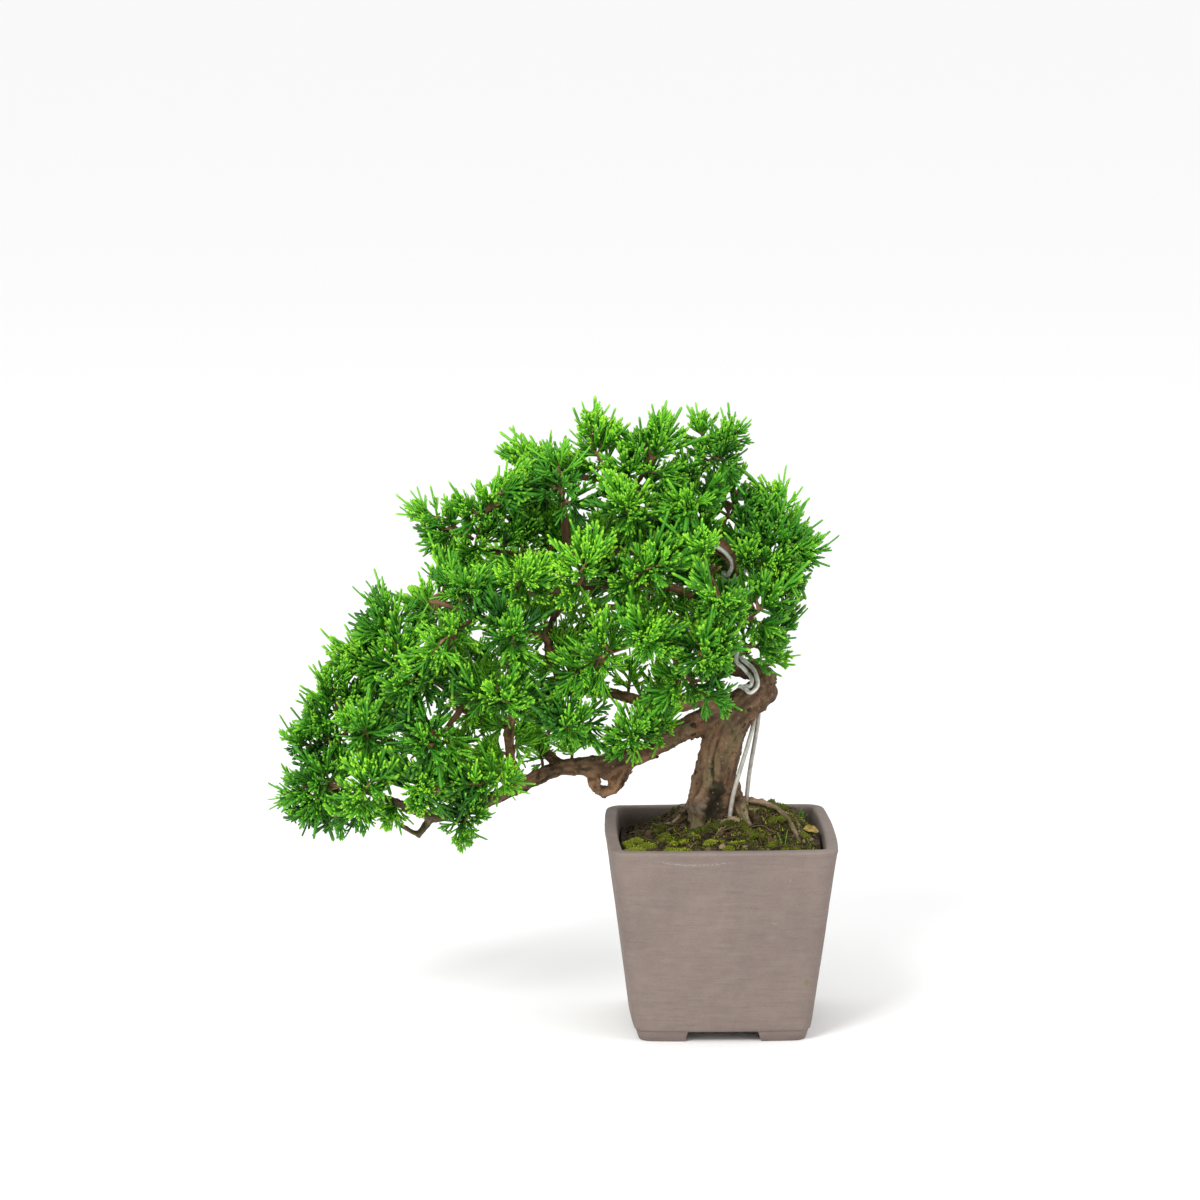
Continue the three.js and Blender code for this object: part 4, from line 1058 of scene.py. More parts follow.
def frond(kind):
    """One frond along Z, FROND_LENGTH long, in millimetres."""
    draw = np.random.default_rng(100 + kind)
    whip = kind >= FROND_KINDS - WHIP_KINDS
    main_length = FROND_LENGTH * (WHIP_GROWTH if whip else draw.uniform(1.0, 1.12))
    pieces = [cord(main_length, CORD_RADIUS, 3, sides=4)]
    side_cords = 5 if whip else 6 + kind % 2
    reach = FROND_LENGTH - (6.0 if whip else 4.2)
    for i in range(side_cords):
        height = 1.5 + reach * (i + draw.uniform(0.1, 0.9)) / side_cords
        length = (FROND_LENGTH - height) * draw.uniform(0.42, 0.78) + 1.9
        turn = (i % 2) * math.pi + draw.normal(0, FAN_SCATTER)
        lean = math.radians(draw.uniform(*SIDE_LEAN))
        stand = lean_on(height, turn, lean)
        side = cord(length, SIDE_RADIUS, 2, -SIDE_DROOP * length)
        side.data.transform(stand)
        pieces.append(side)
        if length > LEAST_WITH_NUB:
            share = draw.uniform(0.5, 0.72)
            nub = cord(draw.uniform(1.7, 2.9), NUB_RADIUS, 1)
            nub_turn = draw.uniform(0, 2 * math.pi)
            nub_lean = math.radians(draw.uniform(30, 50))
            on_side = lean_on(share * length, nub_turn, nub_lean, -SIDE_DROOP * length * share**2)
            nub.data.transform(stand @ on_side)
            pieces.append(nub)
    return join(pieces, f"frond_{kind}")


def pattern_of(piece):
    """What it takes to copy a model: corners, faces, map and values. The model itself is then removed."""
    data = piece.data
    starts = np.empty(len(data.polygons), np.int32)
    data.polygons.foreach_get("loop_start", starts)
    loops = np.empty(len(data.loops), np.int32)
    data.loops.foreach_get("vertex_index", loops)
    uvs = np.empty(len(data.loops) * 2, np.float32)
    from_tip = np.zeros(len(data.vertices), np.float32)
    if "cord" in data.uv_layers:
        data.uv_layers["cord"].data.foreach_get("uv", uvs)
        data.attributes["from_tip"].data.foreach_get("value", from_tip)
    places = corners_of(piece)
    bpy.data.objects.remove(piece)
    return {"places": places, "starts": starts, "loops": loops, "uvs": uvs.reshape(-1, 2),
            "from_tip": from_tip}


patterns = []
for kind in range(FROND_KINDS):
    model = frond(kind)
    if kind == 0:
        print("a frond has", triangles(model), "triangles")
    patterns.append(pattern_of(model))

# %% [markdown]
# Copies of a pattern are written straight into one new mesh, because that keeps thousands of fronds quick.
# Each copy has a frame of its own: foot, way, roll and size. It then bends up towards the light.

# %% Copy patterns into one mesh
def frames_along(ways, rolls):
    """For each way a turned frame, as three columns, whose Z is the way."""
    side = np.where(np.abs(ways[:, 2:3]) < 0.9, [[0.0, 0.0, 1.0]], [[1.0, 0.0, 0.0]])
    first = np.cross(ways, side)
    first /= np.linalg.norm(first, axis=1, keepdims=True)
    second = np.cross(ways, first)
    turned_first = first * np.cos(rolls)[:, None] + second * np.sin(rolls)[:, None]
    return np.stack([turned_first, np.cross(ways, turned_first), ways], axis=2)


def copies(name, jobs):
    """One mesh with a copy for each job: a pattern, its placed corners and the values that it stores."""
    places, starts, loops, uvs = [], [], [], []
    values = {key: [] for key in jobs[0][2]}
    corner_count = loop_count = 0
    for pattern, placed, stored_values in jobs:
        places.append(placed)
        starts.append(pattern["starts"] + loop_count)
        loops.append(pattern["loops"] + corner_count)
        uvs.append(pattern["uvs"])
        for key, value in stored_values.items():
            values[key].append(np.broadcast_to(value, len(placed)))
        corner_count += len(placed)
        loop_count += len(pattern["loops"])
    data = bpy.data.meshes.new(name)
    starts = np.concatenate(starts).astype(np.int32)
    data.vertices.add(corner_count)
    data.loops.add(loop_count)
    data.polygons.add(len(starts))
    data.vertices.foreach_set("co", np.concatenate(places).astype(np.float32).ravel())
    data.loops.foreach_set("vertex_index", np.concatenate(loops).astype(np.int32))
    data.polygons.foreach_set("loop_start", starts)
    data.update(calc_edges=True)
    data.shade_smooth()
    data.uv_layers.new(name="cord").data.foreach_set("uv", np.concatenate(uvs).astype(np.float32).ravel())
    piece = bpy.data.objects.new(name, data)
    bpy.context.scene.collection.objects.link(piece)
    for key, parts in values.items():
        set_values(piece, key, np.concatenate(parts))
    return piece


print("copying helpers ready")

# %% [markdown]
# Fronds deep in the crown get less light, so they hardly grow, and their colour is painted darker as shade.
# For each tip the number of other tips above it says how deep it lies. That sets its tone, and how fresh its
# own tips are.

# %% How deep each frond lies in the crown
SHADE_REACH = 17 * MM
SHADE_COUNT = 9.0
STEEP = 0.45
tips = [(node, tip) for node in SPRAYS for _, tip in needles[node]]
crown = KDTree(len(tips))
for i, (_, tip) in enumerate(tips):
    crown.insert(tip, i)
crown.balance()


def openness_at(tip):
    """How open the crown is above a tip, from 0 to 1."""
    near_by = crown.find_range(tip, SHADE_REACH)
    above = sum(1 for near, _, away in near_by if near.z - tip[2] > STEEP * away > 0)
    return math.exp(-above / SHADE_COUNT)


openness = {node: [openness_at(tip) for _, tip in needles[node]] for node in SPRAYS}
print("mean openness:", round(float(np.mean([value for found in openness.values() for value in found])), 2))

# %% [markdown]
# The green runs from nearly black in the depth of the crown to bright on its open side, led by the tone that
# each frond stores: painted shade inside the crown and painted light at its edge. Tips are yellow-green, as new
# growth is. A brick pattern on the cord's own map draws the scales, with dark gaps, and a tone below zero makes
# a frond dry and brown.

# %% Scale-leaf cords
leaf, tree, shader = new_material("scale_leaf", 0.5, specular=0.26)
places = object_places(tree)
cord_map = tree.nodes.new("ShaderNodeUVMap")
cord_map.uv_map = "cord"
scales = tree.nodes.new("ShaderNodeTexBrick")
tree.links.new(stretched(tree, cord_map.outputs[0], (2, 0.9, 1)), scales.inputs["Vector"])
scale_sizes = {"Scale": 1, "Mortar Size": 0.09, "Mortar Smooth": 0.9, "Brick Width": 1, "Row Height": 1}
for name, number in scale_sizes.items():
    scales.inputs[name].default_value = number
gaps = scales.outputs["Fac"]
wide, small, relief = mottle(tree, places, 110)
tone = stored(tree, "tone")
# Painted shade and light: a low tone, deep in the crown, is painted dark, and a high tone on its open side
# bright.
green = blend(tree, between(tree, tone, 0.0, 0.5), (0.012, 0.076, 0.008, 1), (0.066, 0.31, 0.015, 1))
green = blend(tree, between(tree, tone, 0.5, 1.0), green, (0.195, 0.61, 0.029, 1))
green = tint(tree, green, (0.075, 0.32, 0.025, 1), wide, 0.25)
fresh = maths(tree, "MULTIPLY", between(tree, stored(tree, "from_tip"), 2.4, 0.45), stored(tree, "fresh"))
green = blend(tree, fresh, green, (0.36, 0.80, 0.030, 1))
green = tint(tree, green, (0.02, 0.10, 0.01, 1), gaps, 0.35)
dry = between(tree, tone, -0.2, -0.6)
brown = blend(tree, small, (0.12, 0.06, 0.025, 1), (0.30, 0.16, 0.07, 1))
colour = blend(tree, dry, green, brown)
coat(tree, shader, colour, small, (0.4, 0.62))
height = maths(tree, "SUBTRACT", maths(tree, "MULTIPLY", relief, 0.3), gaps)
raise_surface(tree, shader, height, 0.15 * MM, 0.6)
print("leaf material ready")

# %% [markdown]
# A frond stands on the needle's foot, strays a little from its way and lifts towards the light. Its length
# follows the needle's, and what is ahead of it: inside the crown it grows on, at the edge it stays short and
# is more often a whip. No frond may leave the frame's box by more than a little. A few clearings stay free,
# two before the training wire and one in the notch at the upper right of the crown.

# %% Rules for the fronds
LEAST_SIZE = 0.78
DRY_SHARE = 0.02
DRY_SIZE = 0.6
LIFT = (0.05, 0.42)
STRAY = 0.17
LENGTH_SPREAD = (0.82, 1.14)
AHEAD = 15 * MM
AHEAD_COUNT = 8
REACH = (0.84, 1.3)
EDGE_REACH = 0.95
EDGE_WHIPS = 0.4
ROOM = 2.2 * MM
LEAF_BOX = np.array(FRAME_BOX) + [[-ROOM], [ROOM]]
CLEARINGS = [((12.4, 161), (6.6, 8.6), 4), ((0, 217.5), (5.5, 6.5), -5.2), ((21.2, 262), (12, 7), 99)]
SIDE_BEND = 0.14
DRAW_IN = 0.94
DEEP = 0.4
FRESH_BY_LIGHT = 0.55
FRESH_SPREAD = (-0.35, 0.3)
LEAST_TONE = 0.14
TONE_BY_LIGHT = 0.70
TONE_BY_FRESH = 0.28
TONE_SPREAD = 0.24
SUNNY_SIDE = 0.09
SUNNY_X = (0.08, 0.12)
MEAN_FRESH = 0.4
LONGEST_SHARE = 1.3


def reach_of(tip, way):
    """A frond inside the crown grows longer, to fill the gap before it. One at the edge stays short."""
    ahead = 0
    for near, _, away in crown.find_range(tip, AHEAD):
        ahead += (near - Vector(tip)).dot(Vector(way)) > 0.4 * away > 0.4 * MM
    return REACH[0] + (REACH[1] - REACH[0]) * min(ahead / AHEAD_COUNT, 1)


def in_clearing(placed):
    """Whether a frond reaches into a clearing: an ellipse in X and Z, as far back as the last number in Y."""
    spots = from_pot(placed)
    for middle, reach, nearest in CLEARINGS:
        away = (((spots[:, [0, 2]] - middle) / reach) ** 2).sum(axis=1)
        if ((away < 1) & (spots[:, 1] < nearest)).any():
            return True
    return False


print("fronds stay in", np.round(np.array(LEAF_BOX) / MM).tolist(), "mm")

# %% [markdown]
# All fronds of one spray or shoot become one mesh. Each takes a pattern at random, bends a little to a side
# and up, and is drawn in towards its foot until it lies inside the box.

# %% Grow the fronds of one spray or shoot
def fronds(name, feet, ways, lengths, light, fresh_level, draw):
    """One mesh with a frond on each foot. Ways are unit vectors, lengths are in metres, and light is how
    open each place in the crown is, from 0 to 1."""
    ways = ways + draw.normal(0, STRAY, ways.shape)
    ways /= np.linalg.norm(ways, axis=1, keepdims=True)
    frames = frames_along(ways, draw.uniform(0, 2 * math.pi, len(feet)))
    sizes = np.maximum(lengths / MM / FROND_LENGTH, LEAST_SIZE) * draw.uniform(*LENGTH_SPREAD, len(feet))
    jobs = []
    for i in range(len(feet)):
        pattern = patterns[draw.integers(FROND_KINDS)]
        tip = feet[i] + ways[i] * lengths[i]
        if reach_of(tip, ways[i]) < EDGE_REACH and draw.random() < EDGE_WHIPS:
            pattern = patterns[FROND_KINDS - 1 - draw.integers(WHIP_KINDS)]
        is_dry = draw.random() < DRY_SHARE and light[i] < DEEP
        growth = DRY_SIZE if is_dry else reach_of(tip, ways[i])
        local = pattern["places"] * sizes[i] * growth * MM
        placed = feet[i] + local @ frames[i].T
        share = np.clip(local[:, 2] / (FROND_LENGTH * MM), 0, LONGEST_SHARE)
        lift = draw.uniform(*LIFT) * (1 - ways[i, 2] ** 2) * lengths[i]
        side = draw.uniform(-SIDE_BEND, SIDE_BEND) * lengths[i]
        placed = placed + np.outer(share**2, frames[i][:, 0]) * side
        placed[:, 2] += share**2 * lift
        while (placed < LEAF_BOX[0]).any() or (placed > LEAF_BOX[1]).any():
            placed = feet[i] + DRAW_IN * (placed - feet[i])
        if in_clearing(placed):
            continue
        fresh = float(np.clip(fresh_level + FRESH_BY_LIGHT * light[i] + draw.uniform(*FRESH_SPREAD), 0, 1))
        # The tone paints shade and light: it follows how open the crown is over the frond, and it is a little
        # higher on the sunny right side.
        tone = LEAST_TONE + TONE_BY_LIGHT * light[i] + TONE_BY_FRESH * (fresh - MEAN_FRESH)
        tone += draw.uniform(-TONE_SPREAD, TONE_SPREAD) + SUNNY_SIDE * ramp(tip[0], *SUNNY_X)
        tone = -1.0 if is_dry else float(np.clip(tone, 0, 1))
        jobs.append((pattern, placed, {"from_tip": pattern["from_tip"], "tone": tone, "fresh": fresh}))
    return copies(name, jobs)


print("fronds are drawn from", len(patterns), "patterns")

# %% [markdown]
# Each spray becomes two pieces: its foliage, which takes the place of the frame's node, and its woody twig.
# The twig is the frame's own stem with the needles' tips deleted and the holes closed, so it fits the bark.

# %% Grow the sprays
SPRAY_AGES = (-0.25, -0.05, 0.2, 0.55)
TIP_MATCH = 0.05 * MM
IN_BARK = 1.2 * MM
SUNK = 0.6 * MM


def grow_spray(node, number):
    """The fronds of a spray. Young sprays have fresher tips than old ones."""
    draw = np.random.default_rng(1000 + number)
    feet = np.array([foot for foot, _ in needles[node]])
    ways = np.array([tip for _, tip in needles[node]]) - feet
    lengths = np.linalg.norm(ways, axis=1)
    ways /= lengths[:, None]
    level = draw.choice(SPRAY_AGES)
    return fronds(f"foliage_{number:02d}", feet, ways, lengths, openness[node], level, draw)


def grow_twig(node, number):
    """The spray's woody stem: its frame solid without the needles, let into the bark at its foot."""
    stem = merged_copy(node, f"stem_{number:02d}")
    data = stem.data
    meeting = np.zeros(len(data.vertices), int)
    for face in data.polygons:
        for corner in face.vertices:
            meeting[corner] += 1
    tips_here = np.array([tip for _, tip in needles[node]])
    unpick(stem)
    for vertex in data.vertices:
        is_tip = meeting[vertex.index] == 3
        vertex.select = bool(is_tip and np.abs(tips_here - np.array(vertex.co)).max(axis=1).min() < TIP_MATCH)
    bpy.ops.object.mode_set(mode="EDIT")
    bpy.ops.mesh.delete(type="VERT")
    bpy.ops.mesh.select_all(action="SELECT")
    bpy.ops.mesh.fill_holes(sides=3)
    bpy.ops.mesh.subdivide(number_cuts=1, smoothness=0.6)
    face_outward()
    bpy.ops.object.mode_set(mode="OBJECT")
    places = corners_of(stem)
    for i, corner in enumerate(places):
        near, normal, _, away = wood_tree.find_nearest(Vector(corner))
        if away < IN_BARK:
            places[i] = near - normal * SUNK
    places += normals_of(stem) * (lumps(places, 1.1 * MM, number) * 0.22 * MM)[:, None]
    set_corners(stem, places)
    set_values(stem, "strip", 0.5 + 0.5 * lumps(places, 1.6 * MM, number))
    smooth(stem)
    return stem


leaf_total = 0
for number, node in enumerate(SPRAYS, start=1):
    twig = grow_twig(node, number)
    finish_piece(twig, f"twig_{number:02d}", bark)
    foliage = grow_spray(node, number)
    finish_piece(foliage, f"foliage_{number:02d}", leaf, [node])
    leaf_total += triangles(foliage)
print("foliage in all:", f"{leaf_total:,}", "triangles")

# %% [markdown]
# The frame gives the crown its sprays. A real crown also has short shoots between them, which close its gaps
# and hide the wood. Some are grown by a rule: a place on the bark of a thin limb is taken if no frond and no
# other shoot starts near it. The others grow to listed places, where the crown is closed, from the bark that
# is nearest.

# %% Find the places for shoots
SHOOTS = 66
THIN = (0.9, 4.0)
LOWEST_SHOOT = 108.0
BARE_REACH = 8.0 * MM
SHOOT_SPACING = 7.5 * MM
SHOOT_LENGTH = (6.5, 12.0)
BARE_SPOT = ((-50, -6, 120), 15)
GAPS = [
    (-119, -6, 183), (-81, -6, 163), (-114, -2, 142), (-118, 2, 130), (-104, -6, 127), (-68, -4, 130),
    (-89, 2, 227), (-112, 2, 219), (-61, -8, 183), (-49, -6, 179), (-189, -4, 115), (-149, -6, 101),
    (-67, -8, 174), (-183, 0, 141), (-95, -8, 172), (-42, -6, 197), (-141, -4, 144), (-107, -4, 120),
    (-10, 0, 275), (-190, -4, 99), (-160, -4, 131), (-130, 0, 112), (-172, -2, 120), (-84, -2, 144),
    (-59, -8, 191), (-25, -6, 199), (-155, -2, 165), (-80, -8, 181), (-105, -4, 139), (-90, -4, 131),
    (-105, 0, 229), (24, 2, 170), (-36, -2, 151),
]
draw = np.random.default_rng(7)
frond_feet = [foot for node in SPRAYS for foot, _ in needles[node]]
taken = KDTree(len(frond_feet))
for i, foot in enumerate(frond_feet):
    taken.insert(foot, i)
taken.balance()
girths = limb_radius / MM
fits = (girths > THIN[0]) & (girths < THIN[1]) & (measured[:, 2] > LOWEST_SHOOT) & (bark_normals[:, 2] > -0.2)
fits &= away_from(BARE_SPOT[0], measured) > BARE_SPOT[1]
bark_now = corners_of(wood)
shoots = []
for i in draw.permutation(np.flatnonzero(fits)):
    spot = bark_now[i]
    if taken.find(spot)[2] < BARE_REACH:
        continue
    if any(np.linalg.norm(spot - other) < SHOOT_SPACING for other, _ in shoots):
        continue
    way = bark_normals[i] * 0.75 + np.array([draw.uniform(-0.3, 0.3), draw.uniform(-0.3, 0.3), 0.45])
    shoots.append((spot, spot + way / np.linalg.norm(way) * draw.uniform(*SHOOT_LENGTH) * MM))
    if len(shoots) == SHOOTS:
        break
print("shoots on bare limbs:", len(shoots))
for gap in GAPS:
    end = np.array(place(*gap))
    shoots.append((np.array(wood_tree.find_nearest(Vector(end))[0]), end))
print("shoots into gaps:", len(GAPS))

# %% [markdown]
# A shoot's stem is a five-sided cord, arched from its foot to its end. Its fronds stand round the outer part
# in the golden turn that plants use, so that none grows right over another, and lean forward near the end.

# %% Grow the shoots
SHOOT_FRONDS = 13
SHOOT_RADIUS = 0.8
SHOOT_LEAFY = 11 * MM
SHOOT_AGE = 0.2
MODEL_LENGTH = 10
straight = pattern_of(cord(MODEL_LENGTH, SHOOT_RADIUS, 4, sides=5))


def arched(pattern, foot, end, rise):
    """A straight pattern's corners laid from foot to end, with its middle moved by rise."""
    share = pattern["places"][:, 2:3] / MODEL_LENGTH
    length = np.linalg.norm(end - foot)
    across = frames_along(((end - foot) / length)[None], np.zeros(1))[0][:, :2]
    middle = foot + (end - foot) * share + np.array(rise) * 4 * share * (1 - share)
    return middle + pattern["places"][:, :2] @ across.T * MM


stem_jobs, feet, ways, lengths, light = [], [], [], [], []
for foot, end in shoots:
    length = np.linalg.norm(end - foot)
    way = (end - foot) / length
    rise = np.array([draw.uniform(-0.1, 0.1), draw.uniform(-0.1, 0.1), 0.12]) * length
    placed = arched(straight, foot - way * MM, end, rise)
    stem_jobs.append((straight, placed, {"strip": draw.uniform(0.3, 0.8), "girth": 1.0}))
    sides = frames_along(way[None], draw.uniform(0, 6, 1))[0]
    leafy = min(SHOOT_LEAFY / length, 0.8)
    for step in range(SHOOT_FRONDS):
        share = step / (SHOOT_FRONDS - 1)
        on_stem = 1 - leafy * (1 - share)
        turn = step * GOLDEN_TURN
        lean = math.radians(draw.uniform(60, 95) * (1 - share) + 12 * share)
        across = sides[:, 0] * math.cos(turn) + sides[:, 1] * math.sin(turn)
        feet.append(foot + (end - foot) * on_stem + rise * 4 * on_stem * (1 - on_stem) - way * 0.4 * MM)
        ways.append(way * math.cos(lean) + across * math.sin(lean))
        lengths.append(FROND_LENGTH * MM * draw.uniform(0.78, 1.0))
        tip = feet[-1] + ways[-1] * lengths[-1]
        light.append(openness_at(tip))
stems = copies("shoot_stems", stem_jobs)
finish_piece(stems, "shoot_stems", bark)
half = len(feet) // 2
for name, part in (("foliage_between_1", slice(0, half)), ("foliage_between_2", slice(half, None))):
    grown_from = [np.array(values[part]) for values in (feet, ways, lengths)]
    grown = fronds(name, *grown_from, light[part], SHOOT_AGE, draw)
    finish_piece(grown, name, leaf)

# %% [markdown]
# ## Training wire
# Two strands of soft aluminium wire come up from the soil, hold the fold of the trunk and wind on up it. In
# the frame they are six-sided tubes. The middles of a tube's rings lie on the wire, and walking its mesh
# ring by ring from the foot gives them in order.

# %% Walk the wires of the frame
WIRE_RADIUS = 1.0
RING_SIDES = 6
RING_REACH = 2.6


def ring_middles(node):
    """The middle of each ring of a wire's tube, from foot to end, in millimetres from the pot's middle."""
    tube = merged_copy(node, f"{node}_route")
    points = from_pot(corners_of(tube))
    near = [set() for _ in points]
    for first, second in edges_of(tube):
        near[first].add(int(second))
        near[second].add(int(first))
    bpy.data.objects.remove(tube)
    from_foot = np.linalg.norm(points - points[points[:, 2].argmin()], axis=1)
    ring = set(np.flatnonzero(from_foot < RING_REACH).tolist())
    walked = set(ring)
    middles = []
    while len(ring) >= RING_SIDES:
        middles.append(points[list(ring)].mean(axis=0))
        ring = set().union(*(near[corner] for corner in ring)) - walked
        walked |= ring
    return np.array(middles)


# %% [markdown]
# At the fold the strands hook over the front of the wood. The frame has them a few millimetres further back
# there, so that stretch is laid anew, close on the bark. Higher up, the end of the first strand is laid over
# the front of the trunk in the same way, where it shows between the fronds.

# %% Lay the hooks at the fold and the arc above
ON_BARK = 0.9 * WIRE_RADIUS
HOOK_STARTS = (15.2, 12.5, 150.5)
HOOK_ENDS = (8.8, 5.8, 169.6)
UNDER_LIMB = 3
HOOKS = [
    [(11.5, 10, 152.8), (9.6, 5.5, 154.6), (9.9, 0.6, 156.0), (11.7, -2.8, 157.2), (13.5, -4.4, 157.5),
     (14.4, -3.1, 159.4), (14.2, -0.9, 160.6), (12.9, 1.5, 162.2), (10.5, 2.5, 164.8), (7.6, 3.9, 167.4)],
    [(13, 11, 151.2), (9.8, 8, 152.6), (9.0, 3, 154.6), (9.7, -1.6, 156.3), (11.4, -4.9, 156.0),
     (13.3, -6.6, 155.1), (15.5, -6.6, 156.1), (16.8, -5.2, 158.5), (16.7, -3.1, 160.7), (16.1, -0.9, 162.7),
     (14.8, 1.1, 164.8), (12.2, 3.2, 166.9), (9.9, 5.0, 168.7)],
]
ARC_STARTS = (2.6, -0.4, 207.9)
ARCS = [
    [(4.2, -2.8, 210.4), (4.9, -3.9, 213.8), (3.3, -4.8, 217.3), (-0.6, -4.9, 220.8), (-4.2, -4.7, 222.6),
     (-7.3, -3.9, 223.4), (-9.9, -2.4, 225.6), (-11.3, 0.8, 229.0), (-12.3, 4.2, 227.5)],
    [],
]


def off_bark(spot):
    """A place moved out along the bark's normal until a wire on it rests on the bark."""
    near, normal, _, _ = wood_tree.find_nearest(place(*spot))
    near = from_pot(np.array(near)[None])[0]
    out = (np.array(spot) - near) @ np.array(normal)
    return near + np.array(normal) * ON_BARK if out < ON_BARK else np.array(spot)


def wire_route(node, hook, arc):
    """All places that a strand passes through, with its hook and arc in place of the frame's stretches."""
    middles = ring_middles(node)
    marks = (HOOK_STARTS, HOOK_ENDS, ARC_STARTS)
    leaves, joins, turns = (int(away_from(mark, middles).argmin()) for mark in marks)
    print(node, "has", len(middles), "rings, hook from ring", leaves, "to ring", joins)
    on_bark = [off_bark(spot) for spot in hook[UNDER_LIMB:]]
    last = turns + 1 if arc else len(middles)
    over_front = [off_bark(spot) for spot in arc]
    return [*middles[: leaves + 1], *hook[:UNDER_LIMB], *on_bark, *middles[joins:last], *over_front]


print("hooks of", [len(hook) for hook in HOOKS], "places, arcs of", [len(arc) for arc in ARCS])

# %% [markdown]
# The wire is soft aluminium, weathered dull and brownish low down and cleaner on the fold and above, where it is
# also painted lighter, as painted light against the foliage's shade. A Bezier curve with automatic handles
# passes through every place of a strand's route, and a round section with closed ends makes it a wire.

# %% Draw the wires
def make_round(piece, radius, fineness):
    """Gives a curve a round section and closed ends, and turns it into a mesh."""
    piece.data.bevel_depth = radius
    piece.data.bevel_resolution = fineness
    piece.data.use_fill_caps = True
    bpy.ops.object.convert(target="MESH")


aluminium, tree, shader = new_material("dull_aluminium", 0.5, metallic=0.35, specular=0.5)
places = object_places(tree)
wide, small, relief = mottle(tree, places, 240)
dull = specks(tree, places, 700, 0.35)
colour = blend(tree, wide, (0.345, 0.322, 0.278, 1), (0.52, 0.49, 0.435, 1))
colour = tint(tree, colour, (0.25, 0.23, 0.20, 1), dull, 0.5)
_, _, z = axes_of(tree, places)
soiled = maths(tree, "MULTIPLY", between(tree, z, 106 * MM, 93 * MM), small)
colour = tint(tree, colour, (0.09, 0.07, 0.05, 1), soiled, 0.7)
# Real wear and painted light: from the fold up the wire is cleaner and painted lighter, against the foliage's
# shade.
high_up = between(tree, z, 140 * MM, 156 * MM)
clean_and_lit = maths(tree, "MULTIPLY", high_up, between(tree, wide, 0.1, 0.7, 0.5, 1))
colour = blend(tree, clean_and_lit, colour, (0.83, 0.82, 0.78, 1))
coat(tree, shader, colour, small, (0.42, 0.68))
raise_surface(tree, shader, maths(tree, "SUBTRACT", relief, dull), 0.08 * MM, 0.7)
for strand, (hook, arc) in enumerate(zip(HOOKS, ARCS), start=1):
    route = wire_route(f"wire_{strand}", hook, arc)
    clear_selection()
    bpy.ops.curve.primitive_bezier_curve_add()
    wire = bpy.context.active_object
    spline = wire.data.splines[0]
    spline.bezier_points.add(len(route) - len(spline.bezier_points))
    for point, spot in zip(spline.bezier_points, route):
        point.co = place(*spot)
    spline.resolution_u = 4
    bpy.ops.object.mode_set(mode="EDIT")
    bpy.ops.curve.select_all(action="SELECT")
    bpy.ops.curve.handle_type_set(type="AUTOMATIC")
    bpy.ops.object.mode_set(mode="OBJECT")
    make_round(wire, WIRE_RADIUS * MM, 3)
    wire.location = (0, 0, 0)
    edit(wire, lambda: bpy.ops.mesh.remove_doubles(threshold=0.01 * MM))
    edit(wire, face_outward)
    smooth(wire)
    finish_piece(wire, f"training_wire_{strand}", aluminium, [f"wire_{strand}"])

# %% [markdown]
# ## Soil
# The soil is a dark mix of crumbs and bits of bark, grown over with fine moss. The frame's solid has its
# mound. Only its top shows, so the top alone is cut into small faces and roughened. Needles, scraps of bark
# and old moss have gathered behind the trunk, so the top is higher there. Loose crumbs, moss and roots lie
# on it as pieces of their own.

# %% Roughen the top of the soil
SOIL_HALF = 43.6
LITTER = 7.0
TOP_FLATNESS = 0.35
TOP_LOWEST = 70 * MM


def moss_pattern(places):
    """High where moss grows densely and low where it is thin, about 0."""
    return lumps(places, 9 * MM, 24) + 0.5 * lumps(places, 3 * MM, 25)


soil = merged_copy("soil", "soil_bed")
unpick(soil)
for face in soil.data.polygons:
    face.select = face.normal.z > TOP_FLATNESS and face.center.z > TOP_LOWEST
bpy.ops.object.mode_set(mode="EDIT")
bpy.ops.mesh.select_mode(type="FACE")
bpy.ops.mesh.subdivide(number_cuts=4)
bpy.ops.mesh.quads_convert_to_tris()
bpy.ops.object.mode_set(mode="OBJECT")
places = corners_of(soil)
flat = from_pot(places)
litter = LITTER * ramp(flat[:, 1], -18, 16) * ramp(flat[:, 0], 43, 31) * ramp(flat[:, 0], -40, -14)
litter *= ramp(flat[:, 2], 76, 80)
places[:, 2] += litter * MM
inward = SOIL_HALF - np.abs(flat[:, :2]).max(axis=1)
free = ramp(inward, 0.0, 3.5) * ramp(flat[:, 2], 76, 80)
rough = 1.3 * lumps(places, 5.5 * MM, 21) + 1.5 * lumps(places, 2.6 * MM, 22)
rough += 0.5 * lumps(places, 1.2 * MM, 23)
places[:, 2] += rough * free * MM
set_corners(soil, places)
set_values(soil, "moss", ramp(moss_pattern(places), -0.35, 0.35))
# Painted shade: the deeper a spot lies below the rough top, the darker the finish paints it.
set_values(soil, "hollow", ramp(-rough, 0.0, 1.0))
smooth(soil)
print("soil top roughened,", triangles(soil), "triangles")

# %% [markdown]
# Wet potting mix goes from nearly black to brown, with pale grit in it and green where moss starts. Its hollows
# are painted blackest, as painted shade. Moss goes from a dark olive to a bright yellow-green with the tone that
# each leaf stores, and crumbs go from nearly black to tan in the same way.

